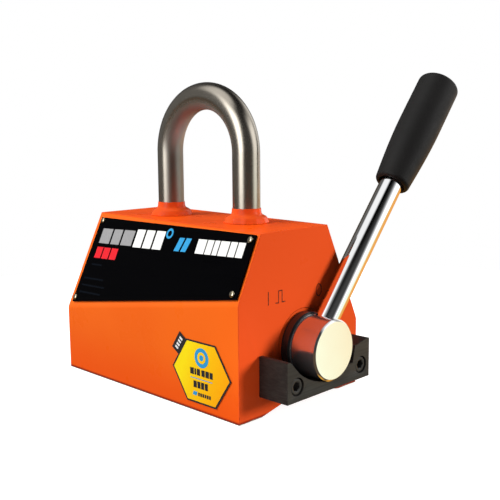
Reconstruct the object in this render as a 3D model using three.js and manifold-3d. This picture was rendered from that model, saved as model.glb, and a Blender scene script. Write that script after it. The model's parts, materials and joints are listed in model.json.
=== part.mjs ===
// Permanent lifting magnet with a turning lever and a fixed shackle.
//
// Built in millimetres with +Z up. X runs along the body towards the lever end, and the nameplate is on -Y.
// While the parts are made, the body is centred on x = y = 0 and its pole faces lie at z = 0. The last lines
// shift the whole group, so that the box around everything is centred on the origin.
import * as THREE from 'three';
import { ConvexGeometry } from 'three/addons/geometries/ConvexGeometry.js';
import { mergeVertices } from 'three/addons/utils/BufferGeometryUtils.js';
import Module from 'manifold-3d';

const wasm = await Module();
wasm.setup();

// ---------------------------------------------------------------- driving dimensions

const GAP = 0.3; // between pieces that touch
const RUNNING_GAP = 0.5; // around the turning rotor
const OVERSHOOT = 5; // how far a cutting tool passes the face it cuts

const BODY_LENGTH = 156;
const BODY_WIDTH = 100;
const BODY_HEIGHT = 99;
const CREASE_LOW = 40; // height of each crease at its low end
const CREASE_HIGH = 64; // and at its high end
const SLANT = 0.482; // run of a slanted side for each unit of rise
const CREASE_RADIUS = 6;
const GROOVE_HALF_WIDTH = 33;
const GROOVE_DEPTH = 7;

const AXIS_Z = 34.4; // height of the rotor's axis, which runs along X at y = 0
const BORE_RADIUS = 20.2;
const LEVER_REST_DEG = 40.4; // lean of the lever from upright towards +Y in the rest pose

const JOURNAL_RADIUS = 10;
const REAR_JOURNAL_RADIUS = 8;
const BUSH_WALL = 1.8;
const COVER_THICKNESS = 10;
const REAR_COVER_RECESS = 3;
const REAR_BUSH_LENGTH = 5;
const SEAL_RADIUS = 14.5;
const SEAL_THICKNESS = 3.6;
const WASHER_THICKNESS = 1.3;
const END_PLATE_THICKNESS = 5;
const ROTOR_MAGNET_THICKNESS = 12;
const ROTOR_MAGNET_WIDTH = 34;
const ROTOR_MAGNET_COUNT = 4;
const PLATE_SCREW_R = 13; // from the rotor's axis to each end plate screw
const PLATE_SCREW_RADIUS = 2;
const PLATE_SCREW_LENGTH = 12;
const PLATE_SCREW_HEAD_RADIUS = 3.5;
const PLATE_SCREW_HEAD = 2.6;

const POCKET_WIDTH = 18; // for the fixed magnets above the rotor
const POCKET_TOP = 78;
const POCKET_LENGTH = 116;
const STATOR_MAGNET_COUNT = 4;
const RETAINER_THICKNESS = 1.9;
const RETAINER_Z = 55.4;
const GAP_STRIP_WIDTH = 8;
const GAP_STRIP_LENGTH = 120;

const HUB_LENGTH = 22.8;
const HUB_RADIUS = 16.9;
const HUB_RIM_BEVEL = 0.9;
const HUB_FLANGE_LENGTH = 5.8;
const HUB_FLANGE_RADIUS = 18.6;
const HUB_WALL = 6; // solid front of the hub, past the end of its bore
const EDGE_BREAK = 0.6; // small bevel on turned and milled edges
const ROD_RADIUS = 7;
const ROD_SPIGOT_RADIUS = 4;
const ROD_OUT = 8; // from the body's end face to the rod's axis
const ROD_TOP = 186; // measured along the rod from the rotor's axis
const GRIP_START = 111.4;
const GRIP_LENGTH = 80.8;
const GRIP_LOW_RADIUS = 10.6;
const GRIP_HIGH_RADIUS = 13;
const GRIP_LIP = 2.4;

const BLOCK_THICKNESS = 20.2;
const BLOCK_HALF_WIDTH = 35.2;
const BLOCK_BOTTOM = 12;
const BLOCK_TOP = 34.3;
const BLOCK_SCREW_Y = 27.4;
const BLOCK_SCREW_Z = 20.1;
const COUNTERBORE_RADIUS = 5;
const COUNTERBORE_DEPTH = 6;
const BLOCK_SCREW_RADIUS = 2.8;
const BLOCK_SCREW_GRIP = 18; // how far a screw reaches into the housing
const SOCKET_SHARE = 0.55; // hexagon socket over its screw head, in radius and in depth

const SHACKLE_X = 1.7; // middle of the shackle, from the body's middle towards the lever end
const SHACKLE_HALF_SPACING = 33.7;
const SHACKLE_BAR_RADIUS = 8.1;
const SHACKLE_BEND_Z = 138.8;
const SHACKLE_SOCKET_DEPTH = 12;
const WELD_RADIUS = 12.8;
const WELD_HEIGHT = 5.6;
const WELD_SLEEVE_TOP = 8.4; // paint sleeve above the bead, measured from its foot

const PLATE_THICKNESS = 1;
// The plate's corners by x and z on the slanted face, from the low far corner round to the upper far corner.
const PLATE_CORNER_XZ = [
  [-73.4, 43.6],
  [76.2, 66.2],
  [76.2, 97.9],
  [-73, 95.7],
];
const RIVET_INSET_X = 3;
const RIVET_INSET_Y = 2.7;
const RIVET_HEAD_RADIUS = 1.9;
const RIVET_SHANK_RADIUS = 1.1;
const RIVET_SHANK_LENGTH = 6;
const STICKER_THICKNESS = 0.3;

// ---------------------------------------------------------------- values that follow from them

const END_X = BODY_LENGTH / 2; // the lever end's face
const HALF_WIDTH = BODY_WIDTH / 2;
const LEVER_REST = THREE.MathUtils.degToRad(LEVER_REST_DEG);
const COVER_RADIUS = BORE_RADIUS - GAP;
const ROTOR_RADIUS = BORE_RADIUS - RUNNING_GAP;
const PLATE_END = END_X - COVER_THICKNESS - WASHER_THICKNESS - 2 * GAP; // outer face of a rotor end plate
const CORE_END = PLATE_END - END_PLATE_THICKNESS;
const SEGMENTS = 36; // round pieces that show
const FINE_SEGMENTS = 24; // small or hidden ones

// ---------------------------------------------------------------- materials

function finish(color, roughness, metalness) {
  return new THREE.MeshStandardMaterial({ color, roughness, metalness });
}

const orangePaint = finish(0xe8621c, 0.35, 0.1);
const chrome = finish(0xe6e8ea, 0.06, 1);
const stainless = finish(0x9b948a, 0.3, 1);
const blackOxide = finish(0x3a3733, 0.5, 0.6);
const blackGrip = finish(0x2c2c2c, 0.6, 0);
const plateBlack = finish(0x0a0a0b, 0.35, 0.2);
const stickerYellow = finish(0xf6c21a, 0.4, 0);
const bareSteel = finish(0x8a8d90, 0.4, 1);
const magnetNickel = finish(0xb9bab8, 0.25, 1);
const bronze = finish(0xb08d4a, 0.35, 1);
const sealRubber = finish(0x1a1a1a, 0.8, 0);

// ---------------------------------------------------------------- geometry helpers

// A closed solid from a geometry, whose shared vertices are merged first.
function toSolid(geometry) {
  const bare = new THREE.BufferGeometry();
  bare.setAttribute('position', geometry.getAttribute('position').clone());
  if (geometry.index) bare.setIndex(geometry.index.clone());
  const merged = mergeVertices(bare, 1e-4);
  const vertProperties = new Float32Array(merged.getAttribute('position').array);
  const triVerts = new Uint32Array(merged.index.array);
  return new wasm.Manifold(new wasm.Mesh({ numProp: 3, vertProperties, triVerts }));
}

function toGeometry(solid) {
  const mesh = solid.getMesh();
  const flat = new THREE.BufferGeometry();
  flat.setAttribute('position', new THREE.BufferAttribute(mesh.vertProperties, 3));
  flat.setIndex(new THREE.BufferAttribute(mesh.triVerts, 1));
  flat.computeVertexNormals();
  return flat;
}

// The first geometry with every one of the others cut out of it.
function cut(geometry, tools) {
  let solid = toSolid(geometry);
  for (const tool of tools) solid = solid.subtract(toSolid(tool));
  return toGeometry(solid);
}

function joined(geometries) {
  let solid = toSolid(geometries[0]);
  for (const next of geometries.slice(1)) solid = solid.add(toSolid(next));
  return toGeometry(solid);
}

function block(x0, x1, y0, y1, z0, z1) {
  const geometry = new THREE.BoxGeometry(x1 - x0, y1 - y0, z1 - z0);
  geometry.translate((x0 + x1) / 2, (y0 + y1) / 2, (z0 + z1) / 2);
  return geometry;
}

// A profile of [radius, distance] pairs turned about the X axis through (y, z).
function turnedX(profile, y = 0, z = AXIS_Z, segments = SEGMENTS) {
  const points = profile.map(([radius, distance]) => new THREE.Vector2(radius, distance));
  const geometry = new THREE.LatheGeometry(points, segments);
  geometry.rotateZ(-Math.PI / 2);
  geometry.translate(0, y, z);
  return geometry;
}

function rodX(radius, x0, x1, y = 0, z = AXIS_Z, segments = SEGMENTS) {
  return turnedX([[0, x0], [radius, x0], [radius, x1], [0, x1]], y, z, segments);
}

function ringX(inner, outer, x0, x1) {
  const profile = [[inner, x0], [outer, x0], [outer, x1], [inner, x1], [inner, x0]];
  return turnedX(profile, 0, AXIS_Z, FINE_SEGMENTS);
}

// A profile of [radius, height] pairs turned about the Z axis.
function turnedZ(profile, segments = SEGMENTS) {
  const points = profile.map(([radius, height]) => new THREE.Vector2(radius, height));
  const geometry = new THREE.LatheGeometry(points, segments);
  geometry.rotateX(Math.PI / 2);
  return geometry;
}

function rodZ(radius, z0, z1, segments = SEGMENTS) {
  return turnedZ([[0, z0], [radius, z0], [radius, z1], [0, z1]], segments);
}

// An outline in (y, z) pushed along X from x0 to x1.
function outlineX(shape, x0, x1, curveSegments = 12) {
  const geometry = new THREE.ExtrudeGeometry(shape, { depth: x1 - x0, bevelEnabled: false, curveSegments });
  const turn = new THREE.Matrix4().set(0, 0, 1, x0, 1, 0, 0, 0, 0, 1, 0, 0, 0, 0, 0, 1);
  geometry.applyMatrix4(turn);
  return geometry;
}

function polygon(points) {
  return new THREE.Shape(points.map(([u, v]) => new THREE.Vector2(u, v)));
}

function part(name, geometry, material) {
  const mesh = new THREE.Mesh(geometry, material);
  mesh.name = name;
  return mesh;
}

// ---------------------------------------------------------------- body

// The front crease climbs towards the lever end, and the rear crease climbs the other way.
function creaseHeight(side, x) {
  const towardsHigh = side < 0 ? x : -x;
  return CREASE_LOW + (CREASE_HIGH - CREASE_LOW) * (0.5 + towardsHigh / BODY_LENGTH);
}

function topEdgeY(side, x) {
  return side * (HALF_WIDTH - SLANT * (BODY_HEIGHT - creaseHeight(side, x)));
}

// Points of the rounded crease between an upright side and the slanted side above it.
function creasePoints(side, x) {
  const lean = Math.atan(SLANT);
  const back = CREASE_RADIUS * Math.tan(lean / 2);
  const steps = 4;
  const points = [];
  for (let i = 0; i <= steps; i += 1) {
    const angle = (lean * i) / steps;
    const y = HALF_WIDTH - CREASE_RADIUS * (1 - Math.cos(angle));
    const z = creaseHeight(side, x) - back + CREASE_RADIUS * Math.sin(angle);
    points.push(new THREE.Vector3(x, side * y, z));
  }
  return points;
}

function bodyBlank() {
  const points = [];
  for (const x of [-END_X, END_X]) {
    for (const side of [-1, 1]) {
      points.push(new THREE.Vector3(x, side * HALF_WIDTH, 0));
      points.push(new THREE.Vector3(x, topEdgeY(side, x), BODY_HEIGHT));
      points.push(...creasePoints(side, x));
    }
  }
  return new ConvexGeometry(points);
}

function grooveZ(y) {
  return GROOVE_DEPTH * (1 - Math.abs(y) / GROOVE_HALF_WIDTH);
}

function grooveTool() {
  const below = -OVERSHOOT;
  const shape = polygon([
    [-GROOVE_HALF_WIDTH, below],
    [GROOVE_HALF_WIDTH, below],
    [GROOVE_HALF_WIDTH, 0],
    [0, GROOVE_DEPTH],
    [-GROOVE_HALF_WIDTH, 0],
  ]);
  return outlineX(shape, -END_X - OVERSHOOT, END_X + OVERSHOOT);
}

// ---------------------------------------------------------------- nameplate frame

// The plate's own frame: origin at the low end of the front crease, +X along the crease, +Z out of the face.
function plateFrame() {
  const origin = new THREE.Vector3(-END_X, -HALF_WIDTH, CREASE_LOW);
  const far = new THREE.Vector3(END_X, -HALF_WIDTH, CREASE_HIGH);
  const top = new THREE.Vector3(-END_X, topEdgeY(-1, -END_X), BODY_HEIGHT);
  const along = far.clone().sub(origin).normalize();
  const outward = along.clone().cross(top.clone().sub(origin)).normalize();
  const up = outward.clone().cross(along);
  return new THREE.Matrix4().makeBasis(along, up, outward).setPosition(origin);
}

const PLATE_FRAME = plateFrame();

// The point of the slanted face with that x and z, in the same frame.
function onSlant(x, z) {
  const origin = new THREE.Vector3().setFromMatrixPosition(PLATE_FRAME);
  const outward = new THREE.Vector3().setFromMatrixColumn(PLATE_FRAME, 2);
  const y = origin.y - ((x - origin.x) * outward.x + (z - origin.z) * outward.z) / outward.y;
  return new THREE.Vector3(x, y, z).applyMatrix4(PLATE_FRAME.clone().invert());
}

const PLATE_CORNERS = PLATE_CORNER_XZ.map(([x, z]) => onSlant(x, z));

// Each rivet sits in from a corner, towards the plate's middle.
function rivetPlaces() {
  const middle = new THREE.Vector3();
  for (const corner of PLATE_CORNERS) middle.addScaledVector(corner, 1 / PLATE_CORNERS.length);
  return PLATE_CORNERS.map((corner) => {
    const towardX = Math.sign(middle.x - corner.x);
    const towardY = Math.sign(middle.y - corner.y);
    return new THREE.Vector3(corner.x + towardX * RIVET_INSET_X, corner.y + towardY * RIVET_INSET_Y, 0);
  });
}

const RIVET_PLACES = rivetPlaces();
const RIVET_HOLE_RADIUS = RIVET_SHANK_RADIUS + GAP;

function inPlateFrame(geometry, place) {
  geometry.translate(place.x, place.y, 0);
  geometry.applyMatrix4(PLATE_FRAME);
  return geometry;
}

// ---------------------------------------------------------------- housing

function shackleSocketTool(side) {
  const z0 = BODY_HEIGHT - SHACKLE_SOCKET_DEPTH;
  const tool = rodZ(SHACKLE_BAR_RADIUS + GAP, z0, BODY_HEIGHT + OVERSHOOT, FINE_SEGMENTS);
  tool.translate(SHACKLE_X + side * SHACKLE_HALF_SPACING, 0, 0);
  return tool;
}

const RING_GROOVE = { radius: 21.7, x0: -END_X + 1.1, x1: -END_X + 2.9 };

function housing() {
  const tools = [
    grooveTool(),
    rodX(BORE_RADIUS, -END_X - OVERSHOOT, END_X + OVERSHOOT),
    rodX(RING_GROOVE.radius, RING_GROOVE.x0, RING_GROOVE.x1),
    block(-POCKET_LENGTH / 2, POCKET_LENGTH / 2, -POCKET_WIDTH / 2, POCKET_WIDTH / 2, AXIS_Z, POCKET_TOP),
    block(-GAP_STRIP_LENGTH / 2, GAP_STRIP_LENGTH / 2, -GAP_STRIP_WIDTH / 2, GAP_STRIP_WIDTH / 2, 0, AXIS_Z),
    shackleSocketTool(-1),
    shackleSocketTool(1),
  ];
  for (const side of [-1, 1]) {
    const start = END_X - BLOCK_SCREW_GRIP - 1;
    const y = side * BLOCK_SCREW_Y;
    tools.push(rodX(BLOCK_SCREW_RADIUS + GAP, start, END_X + OVERSHOOT, y, BLOCK_SCREW_Z, FINE_SEGMENTS));
  }
  for (const place of RIVET_PLACES) {
    tools.push(inPlateFrame(rodZ(RIVET_HOLE_RADIUS, -RIVET_SHANK_LENGTH - 1, OVERSHOOT, 12), place));
  }
  return part('housing', cut(bodyBlank(), tools), orangePaint);
}

// Non-magnetic strip that parts the two pole shoes, flush with the groove below and the bore above.
function poleGapStrip() {
  const half = GAP_STRIP_WIDTH / 2 - GAP;
  const top = AXIS_Z - BORE_RADIUS - GAP;
  const side = grooveZ(half);
  const shape = polygon([[-half, top], [-half, side], [0, grooveZ(0)], [half, side], [half, top]]);
  const end = GAP_STRIP_LENGTH / 2 - GAP;
  return part('pole_gap_strip', outlineX(shape, -end, end), bronze);
}

function statorMagnets() {
  const pitch = (POCKET_LENGTH - GAP) / STATOR_MAGNET_COUNT;
  const half = POCKET_WIDTH / 2 - GAP;
  const z0 = RETAINER_Z + RETAINER_THICKNESS + GAP;
  const magnets = [];
  for (let i = 0; i < STATOR_MAGNET_COUNT; i += 1) {
    const x0 = -POCKET_LENGTH / 2 + GAP + i * pitch;
    const geometry = block(x0, x0 + pitch - GAP, -half, half, z0, POCKET_TOP - GAP);
    magnets.push(part(`stator_magnet_${i + 1}`, geometry, magnetNickel));
  }
  return magnets;
}

function statorRetainer() {
  const end = POCKET_LENGTH / 2 - GAP;
  const half = POCKET_WIDTH / 2 - GAP;
  const geometry = block(-end, end, -half, half, RETAINER_Z, RETAINER_Z + RETAINER_THICKNESS);
  return part('stator_retainer', geometry, bronze);
}

// ---------------------------------------------------------------- bearings in the housing

// The lever end's cover: flush with the end face, with a seat for the bush and a wider one for the seal.
function frontCover() {
  const inner = END_X - COVER_THICKNESS;
  const step = END_X - SEAL_THICKNESS - GAP;
  const bushSeat = JOURNAL_RADIUS + GAP + BUSH_WALL + GAP;
  const profile = [
    [bushSeat, inner],
    [COVER_RADIUS, inner],
    [COVER_RADIUS, END_X],
    [SEAL_RADIUS + GAP, END_X],
    [SEAL_RADIUS + GAP, step],
    [bushSeat, step],
    [bushSeat, inner],
  ];
  return part('front_bearing_cover', turnedX(profile), orangePaint);
}

function frontBush() {
  const inner = JOURNAL_RADIUS + GAP;
  const geometry = ringX(inner, inner + BUSH_WALL, END_X - COVER_THICKNESS, END_X - SEAL_THICKNESS - 2 * GAP);
  return part('front_bush', geometry, bronze);
}

function shaftSeal() {
  const geometry = ringX(JOURNAL_RADIUS + GAP, SEAL_RADIUS, END_X - SEAL_THICKNESS, END_X);
  return part('shaft_seal', geometry, sealRubber);
}

function thrustWasher(name, direction, journalRadius) {
  const near = direction * (PLATE_END + GAP);
  const far = direction * (PLATE_END + GAP + WASHER_THICKNESS);
  const geometry = ringX(journalRadius + GAP, ROTOR_RADIUS - 1, Math.min(near, far), Math.max(near, far));
  return part(name, geometry, bronze);
}

// The far end's cover: a cup that holds its bush, kept in by a retaining ring.
function rearCover() {
  const inner = -END_X + COVER_THICKNESS;
  const outer = -END_X + REAR_COVER_RECESS;
  const seat = REAR_JOURNAL_RADIUS + GAP + BUSH_WALL + GAP;
  const floor = inner - REAR_BUSH_LENGTH - GAP;
  const profile = [
    [0, outer],
    [COVER_RADIUS, outer],
    [COVER_RADIUS, inner],
    [seat, inner],
    [seat, floor],
    [0, floor],
  ];
  return part('rear_bearing_cover', turnedX(profile), bareSteel);
}

function rearBush() {
  const inner = REAR_JOURNAL_RADIUS + GAP;
  const end = -END_X + COVER_THICKNESS;
  return part('rear_bush', ringX(inner, inner + BUSH_WALL, end - REAR_BUSH_LENGTH, end), bronze);
}

// An internal retaining ring, open at the top, with a lug on each side of the opening.
function rearRetainingRing() {
  const outer = RING_GROOVE.radius - GAP;
  const inner = 17.4;
  const halfOpening = THREE.MathUtils.degToRad(11);
  const start = Math.PI / 2 + halfOpening;
  const end = Math.PI / 2 + 2 * Math.PI - halfOpening;
  const shape = new THREE.Shape();
  shape.absarc(0, AXIS_Z, outer, start, end, false);
  shape.absarc(0, AXIS_Z, inner, end, start, true);
  const x0 = RING_GROOVE.x0 + GAP / 2;
  const x1 = RING_GROOVE.x1 - GAP;
  const pieces = [outlineX(shape, x0, x1, FINE_SEGMENTS)];
  const lugRadius = 2.4;
  const lugPath = 16.9;
  for (const angle of [start + 0.1, end - 0.1]) {
    const y = lugPath * Math.cos(angle);
    const z = AXIS_Z + lugPath * Math.sin(angle);
    pieces.push(rodX(lugRadius, x0, x1, y, z, FINE_SEGMENTS));
  }
  return part('rear_retaining_ring', joined(pieces), bareSteel);
}

// ---------------------------------------------------------------- rotor

// Rotor pieces are made with their magnets level, and the rotor group turns them to the lever's lean.
function rotorPole(name, side) {
  const flat = ROTOR_MAGNET_THICKNESS / 2 + GAP;
  const startAngle = Math.asin(flat / ROTOR_RADIUS);
  const shape = new THREE.Shape();
  shape.absarc(0, 0, ROTOR_RADIUS, startAngle, Math.PI - startAngle, false);
  shape.closePath();
  const blank = outlineX(shape, -CORE_END + GAP, CORE_END - GAP, FINE_SEGMENTS);
  const holes = [];
  for (const end of [-1, 1]) {
    const x0 = end * (CORE_END - PLATE_SCREW_LENGTH - 1);
    const x1 = end * (CORE_END + 1);
    const hole = rodX(PLATE_SCREW_RADIUS + GAP, Math.min(x0, x1), Math.max(x0, x1), 0, PLATE_SCREW_R, 16);
    holes.push(hole);
  }
  const geometry = cut(blank, holes);
  if (side < 0) geometry.rotateX(Math.PI);
  return part(name, geometry, bareSteel);
}

function rotorMagnets() {
  const pitch = (2 * CORE_END - GAP) / ROTOR_MAGNET_COUNT;
  const halfWidth = ROTOR_MAGNET_WIDTH / 2;
  const halfThickness = ROTOR_MAGNET_THICKNESS / 2;
  const magnets = [];
  for (let i = 0; i < ROTOR_MAGNET_COUNT; i += 1) {
    const x0 = -CORE_END + GAP + i * pitch;
    const geometry = block(x0, x0 + pitch - GAP, -halfWidth, halfWidth, -halfThickness, halfThickness);
    magnets.push(part(`rotor_magnet_${i + 1}`, geometry, magnetNickel));
  }
  return magnets;
}

// Holes and head recesses for the two screws of an end plate.
function plateScrewTools(end) {
  const tools = [];
  for (const z of [-PLATE_SCREW_R, PLATE_SCREW_R]) {
    const span = [end * (CORE_END - 1), end * (PLATE_END + 1)].sort((a, b) => a - b);
    tools.push(rodX(PLATE_SCREW_RADIUS + GAP, span[0], span[1], 0, z, 16));
    const recess = [end * (PLATE_END - PLATE_SCREW_HEAD - GAP), end * (PLATE_END + 1)].sort((a, b) => a - b);
    tools.push(rodX(PLATE_SCREW_HEAD_RADIUS + GAP, recess[0], recess[1], 0, z, 16));
  }
  return tools;
}

// The lever end's plate carries the drive shaft, whose nose takes the hub and the rod's spigot.
function rotorFrontPlate() {
  const nose = END_X + HUB_LENGTH - HUB_WALL - GAP;
  const profile = [
    [0, CORE_END],
    [ROTOR_RADIUS, CORE_END],
    [ROTOR_RADIUS, PLATE_END],
    [JOURNAL_RADIUS, PLATE_END],
    [JOURNAL_RADIUS, nose - 1],
    [JOURNAL_RADIUS - 1, nose],
    [0, nose],
  ];
  const spigotHole = rodZ(ROD_SPIGOT_RADIUS + GAP, -2, HUB_RADIUS, FINE_SEGMENTS);
  spigotHole.translate(END_X + ROD_OUT, 0, 0);
  const geometry = cut(turnedX(profile, 0, 0), [...plateScrewTools(1), spigotHole]);
  return part('rotor_drive_plate', geometry, bareSteel);
}

function rotorRearPlate() {
  const journalEnd = -END_X + COVER_THICKNESS - REAR_BUSH_LENGTH;
  const profile = [
    [0, journalEnd],
    [REAR_JOURNAL_RADIUS, journalEnd],
    [REAR_JOURNAL_RADIUS, -PLATE_END],
    [ROTOR_RADIUS, -PLATE_END],
    [ROTOR_RADIUS, -CORE_END],
    [0, -CORE_END],
  ];
  return part('rotor_rear_plate', cut(turnedX(profile, 0, 0), plateScrewTools(-1)), bareSteel);
}

// A socket head screw along X: the head ends at x1, and the point at x0.
function capScrew(name, shankRadius, headRadius, headLength, x0, x1, y, z, material) {
  const towards = Math.sign(x1 - x0);
  const headStart = x1 - towards * headLength;
  const profile = [[0, x0], [shankRadius, x0], [shankRadius, headStart], [headRadius, headStart]];
  profile.push([headRadius, x1], [0, x1]);
  if (towards < 0) profile.reverse();
  const blank = turnedX(profile, y, z, FINE_SEGMENTS);
  const socketDepth = headLength * SOCKET_SHARE;
  const inside = x1 - towards * socketDepth;
  const outside = x1 + towards;
  const span = [inside, outside].sort((a, b) => a - b);
  const socket = rodX(headRadius * SOCKET_SHARE, span[0], span[1], y, z, 6);
  return part(name, cut(blank, [socket]), material);
}

function rotorPlateScrews() {
  const screws = [];
  for (const end of [1, -1]) {
    for (const z of [PLATE_SCREW_R, -PLATE_SCREW_R]) {
      const x0 = end * (CORE_END - PLATE_SCREW_LENGTH);
      const x1 = end * (PLATE_END - GAP / 2);
      const name = `rotor_plate_screw_${screws.length + 1}`;
      const head = PLATE_SCREW_HEAD - GAP / 2;
      screws.push(capScrew(name, PLATE_SCREW_RADIUS, PLATE_SCREW_HEAD_RADIUS, head, x0, x1, 0, z, bareSteel));
    }
  }
  return screws;
}

// ---------------------------------------------------------------- lever

// The hub: a flange against the end cover, a barrel, and a bevelled front rim. Its bore takes the shaft.
function leverHub() {
  const back = END_X + GAP;
  const flangeEnd = END_X + HUB_FLANGE_LENGTH;
  const front = END_X + HUB_LENGTH;
  const boreEnd = front - HUB_WALL;
  const profile = [
    [JOURNAL_RADIUS + GAP, back],
    [HUB_FLANGE_RADIUS, back],
    [HUB_FLANGE_RADIUS, flangeEnd - EDGE_BREAK],
    [HUB_FLANGE_RADIUS - EDGE_BREAK, flangeEnd],
    [HUB_RADIUS, flangeEnd],
    [HUB_RADIUS, front - HUB_RIM_BEVEL],
    [HUB_RADIUS - HUB_RIM_BEVEL, front],
    [0, front],
    [0, boreEnd],
    [JOURNAL_RADIUS + GAP, boreEnd],
    [JOURNAL_RADIUS + GAP, back],
  ];
  const rodHole = rodZ(ROD_RADIUS + GAP, JOURNAL_RADIUS - 2, HUB_FLANGE_RADIUS + OVERSHOOT);
  rodHole.translate(END_X + ROD_OUT, 0, 0);
  return part('lever_hub', cut(turnedX(profile, 0, 0), [rodHole]), chrome);
}

function leverRod() {
  const shoulder = JOURNAL_RADIUS + 1;
  const profile = [
    [0, 0],
    [ROD_SPIGOT_RADIUS, 0],
    [ROD_SPIGOT_RADIUS, shoulder],
    [ROD_RADIUS, shoulder],
    [ROD_RADIUS, ROD_TOP - 1],
    [ROD_RADIUS - 1, ROD_TOP],
    [0, ROD_TOP],
  ];
  const geometry = turnedZ(profile, FINE_SEGMENTS);
  geometry.translate(END_X + ROD_OUT, 0, 0);
  return part('lever_rod', geometry, chrome);
}

// The grip widens towards its domed top, and a blind hole from below takes the rod.
function leverGrip() {
  const bore = ROD_RADIUS + GAP;
  const boreEnd = ROD_TOP + GAP;
  const top = GRIP_START + GRIP_LENGTH;
  const low = GRIP_LOW_RADIUS;
  const high = GRIP_HIGH_RADIUS;
  const profile = [
    [bore, GRIP_START + 1.5],
    [bore + 1, GRIP_START + 0.4],
    [low - GRIP_LIP, GRIP_START],
    [low - GRIP_LIP * 0.3, GRIP_START + GRIP_LIP * 0.4],
    [low, GRIP_START + GRIP_LIP],
  ];
  for (const share of [0.14, 0.32, 0.55]) {
    const swell = Math.sin(Math.min(1, share / 0.6) * Math.PI / 2);
    profile.push([low + (high - low) * swell, GRIP_START + GRIP_LENGTH * share]);
  }
  profile.push([high, top - 4.6], [high - 0.5, top - 2.8], [high - 2, top - 1.4], [8, top - 0.5], [0, top]);
  profile.push([0, boreEnd], [bore, boreEnd], [bore, GRIP_START + 1.5]);
  const geometry = turnedZ(profile, FINE_SEGMENTS);
  geometry.translate(END_X + ROD_OUT, 0, 0);
  return part('lever_grip', geometry, blackGrip);
}

// Everything that turns with the lever, in a group on the rotor's axis.
function rotorGroup() {
  const group = new THREE.Group();
  group.add(rotorPole('rotor_pole_upper', 1), rotorPole('rotor_pole_lower', -1), ...rotorMagnets());
  group.add(rotorFrontPlate(), rotorRearPlate(), ...rotorPlateScrews());
  group.add(leverHub(), leverRod(), leverGrip());
  group.position.set(0, 0, AXIS_Z);
  group.rotation.x = -LEVER_REST;
  return group;
}

// ---------------------------------------------------------------- stop block

// Outline of the front: two ears beside a notch that clears the hub, with a seat for the rod on the right.
function blockOutline() {
  const hubClear = HUB_RADIUS + 0.6;
  const seat = { innerY: 21.9, outerY: 32.4, drop: 2.2 };
  const pocket = { y: 19.8, z: 22.8 };
  const sweepRadius = 40;
  const sweepZ = 57.7;
  const rampTop = { y: -32.8, z: BLOCK_TOP };
  const rampEnd = { y: -26, z: 27.3 };
  const sweepStart = Math.atan2(rampEnd.z - sweepZ, rampEnd.y);
  const meetY = -6;
  const sweepEnd = Math.atan2(-Math.sqrt(sweepRadius ** 2 - meetY ** 2), meetY);
  const hubStart = Math.atan2(-Math.sqrt(hubClear ** 2 - meetY ** 2), meetY);
  const hubEnd = Math.asin((pocket.z - AXIS_Z) / hubClear);
  const shape = new THREE.Shape();
  shape.moveTo(-BLOCK_HALF_WIDTH, BLOCK_BOTTOM);
  shape.lineTo(BLOCK_HALF_WIDTH, BLOCK_BOTTOM);
  shape.lineTo(BLOCK_HALF_WIDTH, BLOCK_TOP);
  shape.lineTo(seat.outerY, BLOCK_TOP);
  shape.lineTo(seat.innerY, BLOCK_TOP - seat.drop);
  shape.lineTo(pocket.y, pocket.z);
  shape.absarc(0, AXIS_Z, hubClear, hubEnd, hubStart, true);
  shape.absarc(0, sweepZ, sweepRadius, sweepEnd, sweepStart, true);
  shape.lineTo(rampTop.y, rampTop.z);
  shape.lineTo(-BLOCK_HALF_WIDTH, BLOCK_TOP);
  return shape;
}

function stopBlock() {
  const x0 = END_X + GAP;
  const x1 = END_X + BLOCK_THICKNESS;
  const flangeRoom = rodX(HUB_FLANGE_RADIUS + 0.6, END_X - 1, END_X + HUB_FLANGE_LENGTH + 0.6);
  const tools = [flangeRoom];
  for (const side of [-1, 1]) {
    const y = side * BLOCK_SCREW_Y;
    tools.push(rodX(BLOCK_SCREW_RADIUS + GAP, END_X - 1, x1 + 1, y, BLOCK_SCREW_Z, FINE_SEGMENTS));
    tools.push(rodX(COUNTERBORE_RADIUS, x1 - COUNTERBORE_DEPTH, x1 + 1, y, BLOCK_SCREW_Z, FINE_SEGMENTS));
  }
  return part('stop_block', cut(outlineX(blockOutline(), x0, x1, FINE_SEGMENTS), tools), blackOxide);
}

function blockScrews() {
  const x0 = END_X - BLOCK_SCREW_GRIP;
  const below = 0.6; // the head sits this far under the block's face
  const x1 = END_X + BLOCK_THICKNESS - below;
  const headRadius = COUNTERBORE_RADIUS - 0.6;
  const headLength = COUNTERBORE_DEPTH - below - GAP;
  return [-1, 1].map((side) => {
    const name = side < 0 ? 'stop_block_screw_left' : 'stop_block_screw_right';
    const y = side * BLOCK_SCREW_Y;
    return capScrew(name, BLOCK_SCREW_RADIUS, headRadius, headLength, x0, x1, y, BLOCK_SCREW_Z, blackOxide);
  });
}

// ---------------------------------------------------------------- shackle

// The bar's centre line: up one leg, round half a circle and down the other leg.
class ShackleLine extends THREE.Curve {
  getPoint(t) {
    const foot = BODY_HEIGHT - SHACKLE_SOCKET_DEPTH + GAP;
    const leg = SHACKLE_BEND_Z - foot;
    const bend = Math.PI * SHACKLE_HALF_SPACING;
    const along = t * (2 * leg + bend);
    if (along <= leg) return new THREE.Vector3(SHACKLE_X - SHACKLE_HALF_SPACING, 0, foot + along);
    if (along >= leg + bend) {
      return new THREE.Vector3(SHACKLE_X + SHACKLE_HALF_SPACING, 0, SHACKLE_BEND_Z - (along - leg - bend));
    }
    const angle = Math.PI - (along - leg) / SHACKLE_HALF_SPACING;
    const x = SHACKLE_X + SHACKLE_HALF_SPACING * Math.cos(angle);
    return new THREE.Vector3(x, 0, SHACKLE_BEND_Z + SHACKLE_HALF_SPACING * Math.sin(angle));
  }
}

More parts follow.
